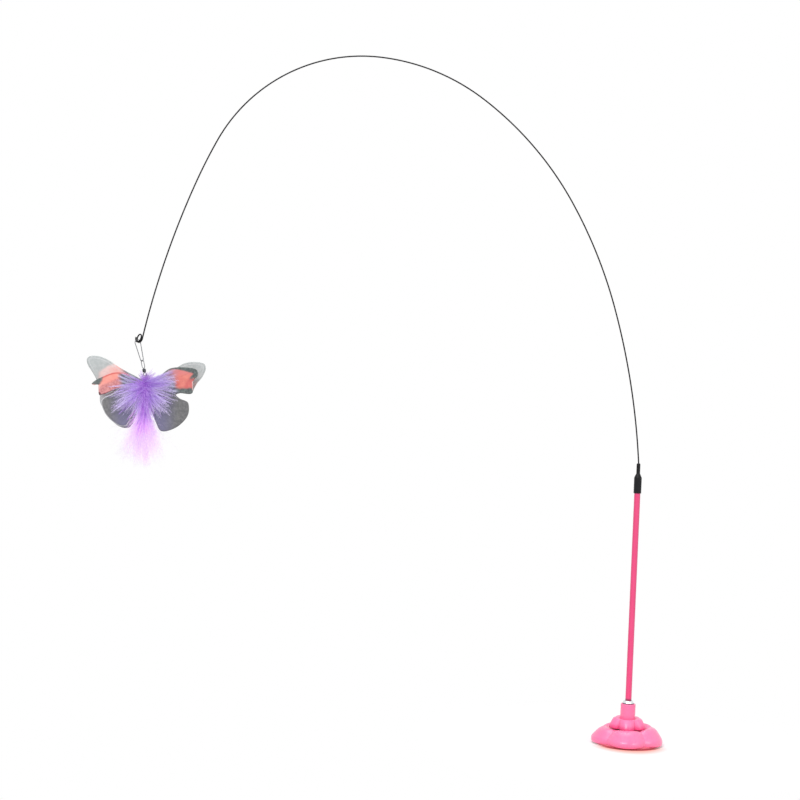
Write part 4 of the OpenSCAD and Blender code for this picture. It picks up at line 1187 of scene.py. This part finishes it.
def tailBarbs():
    dice = random.Random(tailTuft["seed"])
    made = []
    for _ in range(tailTuft["count"]):
        angle = dice.uniform(0.0, 2 * math.pi)
        root = Vector([dice.gauss(*spot) for spot in zip(tailTuft["middle"], tailTuft["spread"])])
        tilt = dice.gauss(*tailTuft["tilt"])
        depth = tailTuft["depth"] * math.sin(angle) * abs(tilt)
        length = dice.uniform(*tailTuft["lengths"])
        made.append(laid(dice, root, Vector((math.tan(tilt) + tailTuft["lean"], depth, -1.0)),
                         Vector((math.copysign(1.0, tilt), 0.0, 0.0)), length,
                         0.0, -length * dice.uniform(*tailTuft["curl"])))
    return made


addTrunk()
addBinding()
for number, (name, (material, shapes, body, bunches)) in enumerate(frontTufts.items()):
    barbs = frontBarbs(bunches, frontRoots["firstSeed"] + number)
    plume(name, barbs, shapes, material, "feather_front", body)
plume("violetPlumeBack", backBarbs(), shortBarbs, violetPlume, "feather_back")
plume("paleTail", tailBarbs(), fluffBarbs, palePlume, "feather_tail")
print("feathers made")


# the stage

def addStage():
    finish = Finish("paleFloor")
    tree = finish.tree
    tree.nodes.remove(finish.shader)
    x, y, _ = finish.axes()
    distance = (x * x + y * y) ** 0.5
    narrowed = (x * x * studio["paintedBounceSquash"] + y * y) ** 0.5
    # the floor's colour carries a painted pink bounce light in front of the base and a painted contact
    # shadow under its rim
    paintedBounce = narrowed.ramp(*studio["paintedBounceReach"]) * y.ramp(*studio["paintedBounceFront"])
    paintedShadow = distance.ramp(*studio["paintedShadowReach"]) * y.ramp(*studio["paintedShadowFront"])
    white = (studio["floorTone"],) * 3 + (1.0,)
    glow = finish.layered(white, (paintedBounce, studio["paintedBounceTone"]), (paintedShadow, studio["paintedShadowTone"]))
    shownWhite = finish.add("ShaderNodeEmission", values={"Color": glow, "Strength": 1.0})
    matt = finish.add("ShaderNodeBsdfDiffuse", values={"Color": glow})
    seen = finish.add("ShaderNodeMixShader", values={0: studio["floorGlow"], 1: matt, 2: shownWhite})
    clear = finish.add("ShaderNodeBsdfTransparent")
    fade = distance.ramp(*studio["floorFade"])
    faded = finish.add("ShaderNodeMixShader", values={0: fade, 1: seen, 2: clear})
    tree.links.new(faded.socket, tree.nodes["Material Output"].inputs["Surface"])
    bm = bmesh.new()
    bmesh.ops.create_circle(bm, cap_ends=True, segments=studio["floorSides"], radius=studio["floorRadius"],
                            matrix=Matrix.Translation((0.0, 0.0, -studio["floorDrop"])))
    linkMesh("paleFloor", bm, finish.material)


def addWorld():
    world = bpy.data.worlds.new("paleRoom")
    bpy.context.scene.world = world
    world.use_nodes = True
    tree = world.node_tree
    background = tree.nodes["Background"]
    background.inputs["Color"].default_value = (1.0, 1.0, 1.0, 1.0)
    path = tree.nodes.new("ShaderNodeLightPath")
    shown = path.outputs["Is Camera Ray"]
    for label in ("Is Glossy Ray", "Is Transmission Ray"):
        either = tree.nodes.new("ShaderNodeMath")
        either.operation = "MAXIMUM"
        tree.links.new(shown, either.inputs[0])
        tree.links.new(path.outputs[label], either.inputs[1])
        shown = either.outputs[0]
    strength = tree.nodes.new("ShaderNodeMapRange")
    strength.inputs["To Min"].default_value = studio["skyLight"]
    tree.links.new(shown, strength.inputs["Value"])
    tree.links.new(strength.outputs[0], background.inputs["Strength"])


addCamera()
addLamps()
addStage()
addWorld()
bpy.context.scene.view_settings.view_transform = "Standard"
print("stage set")
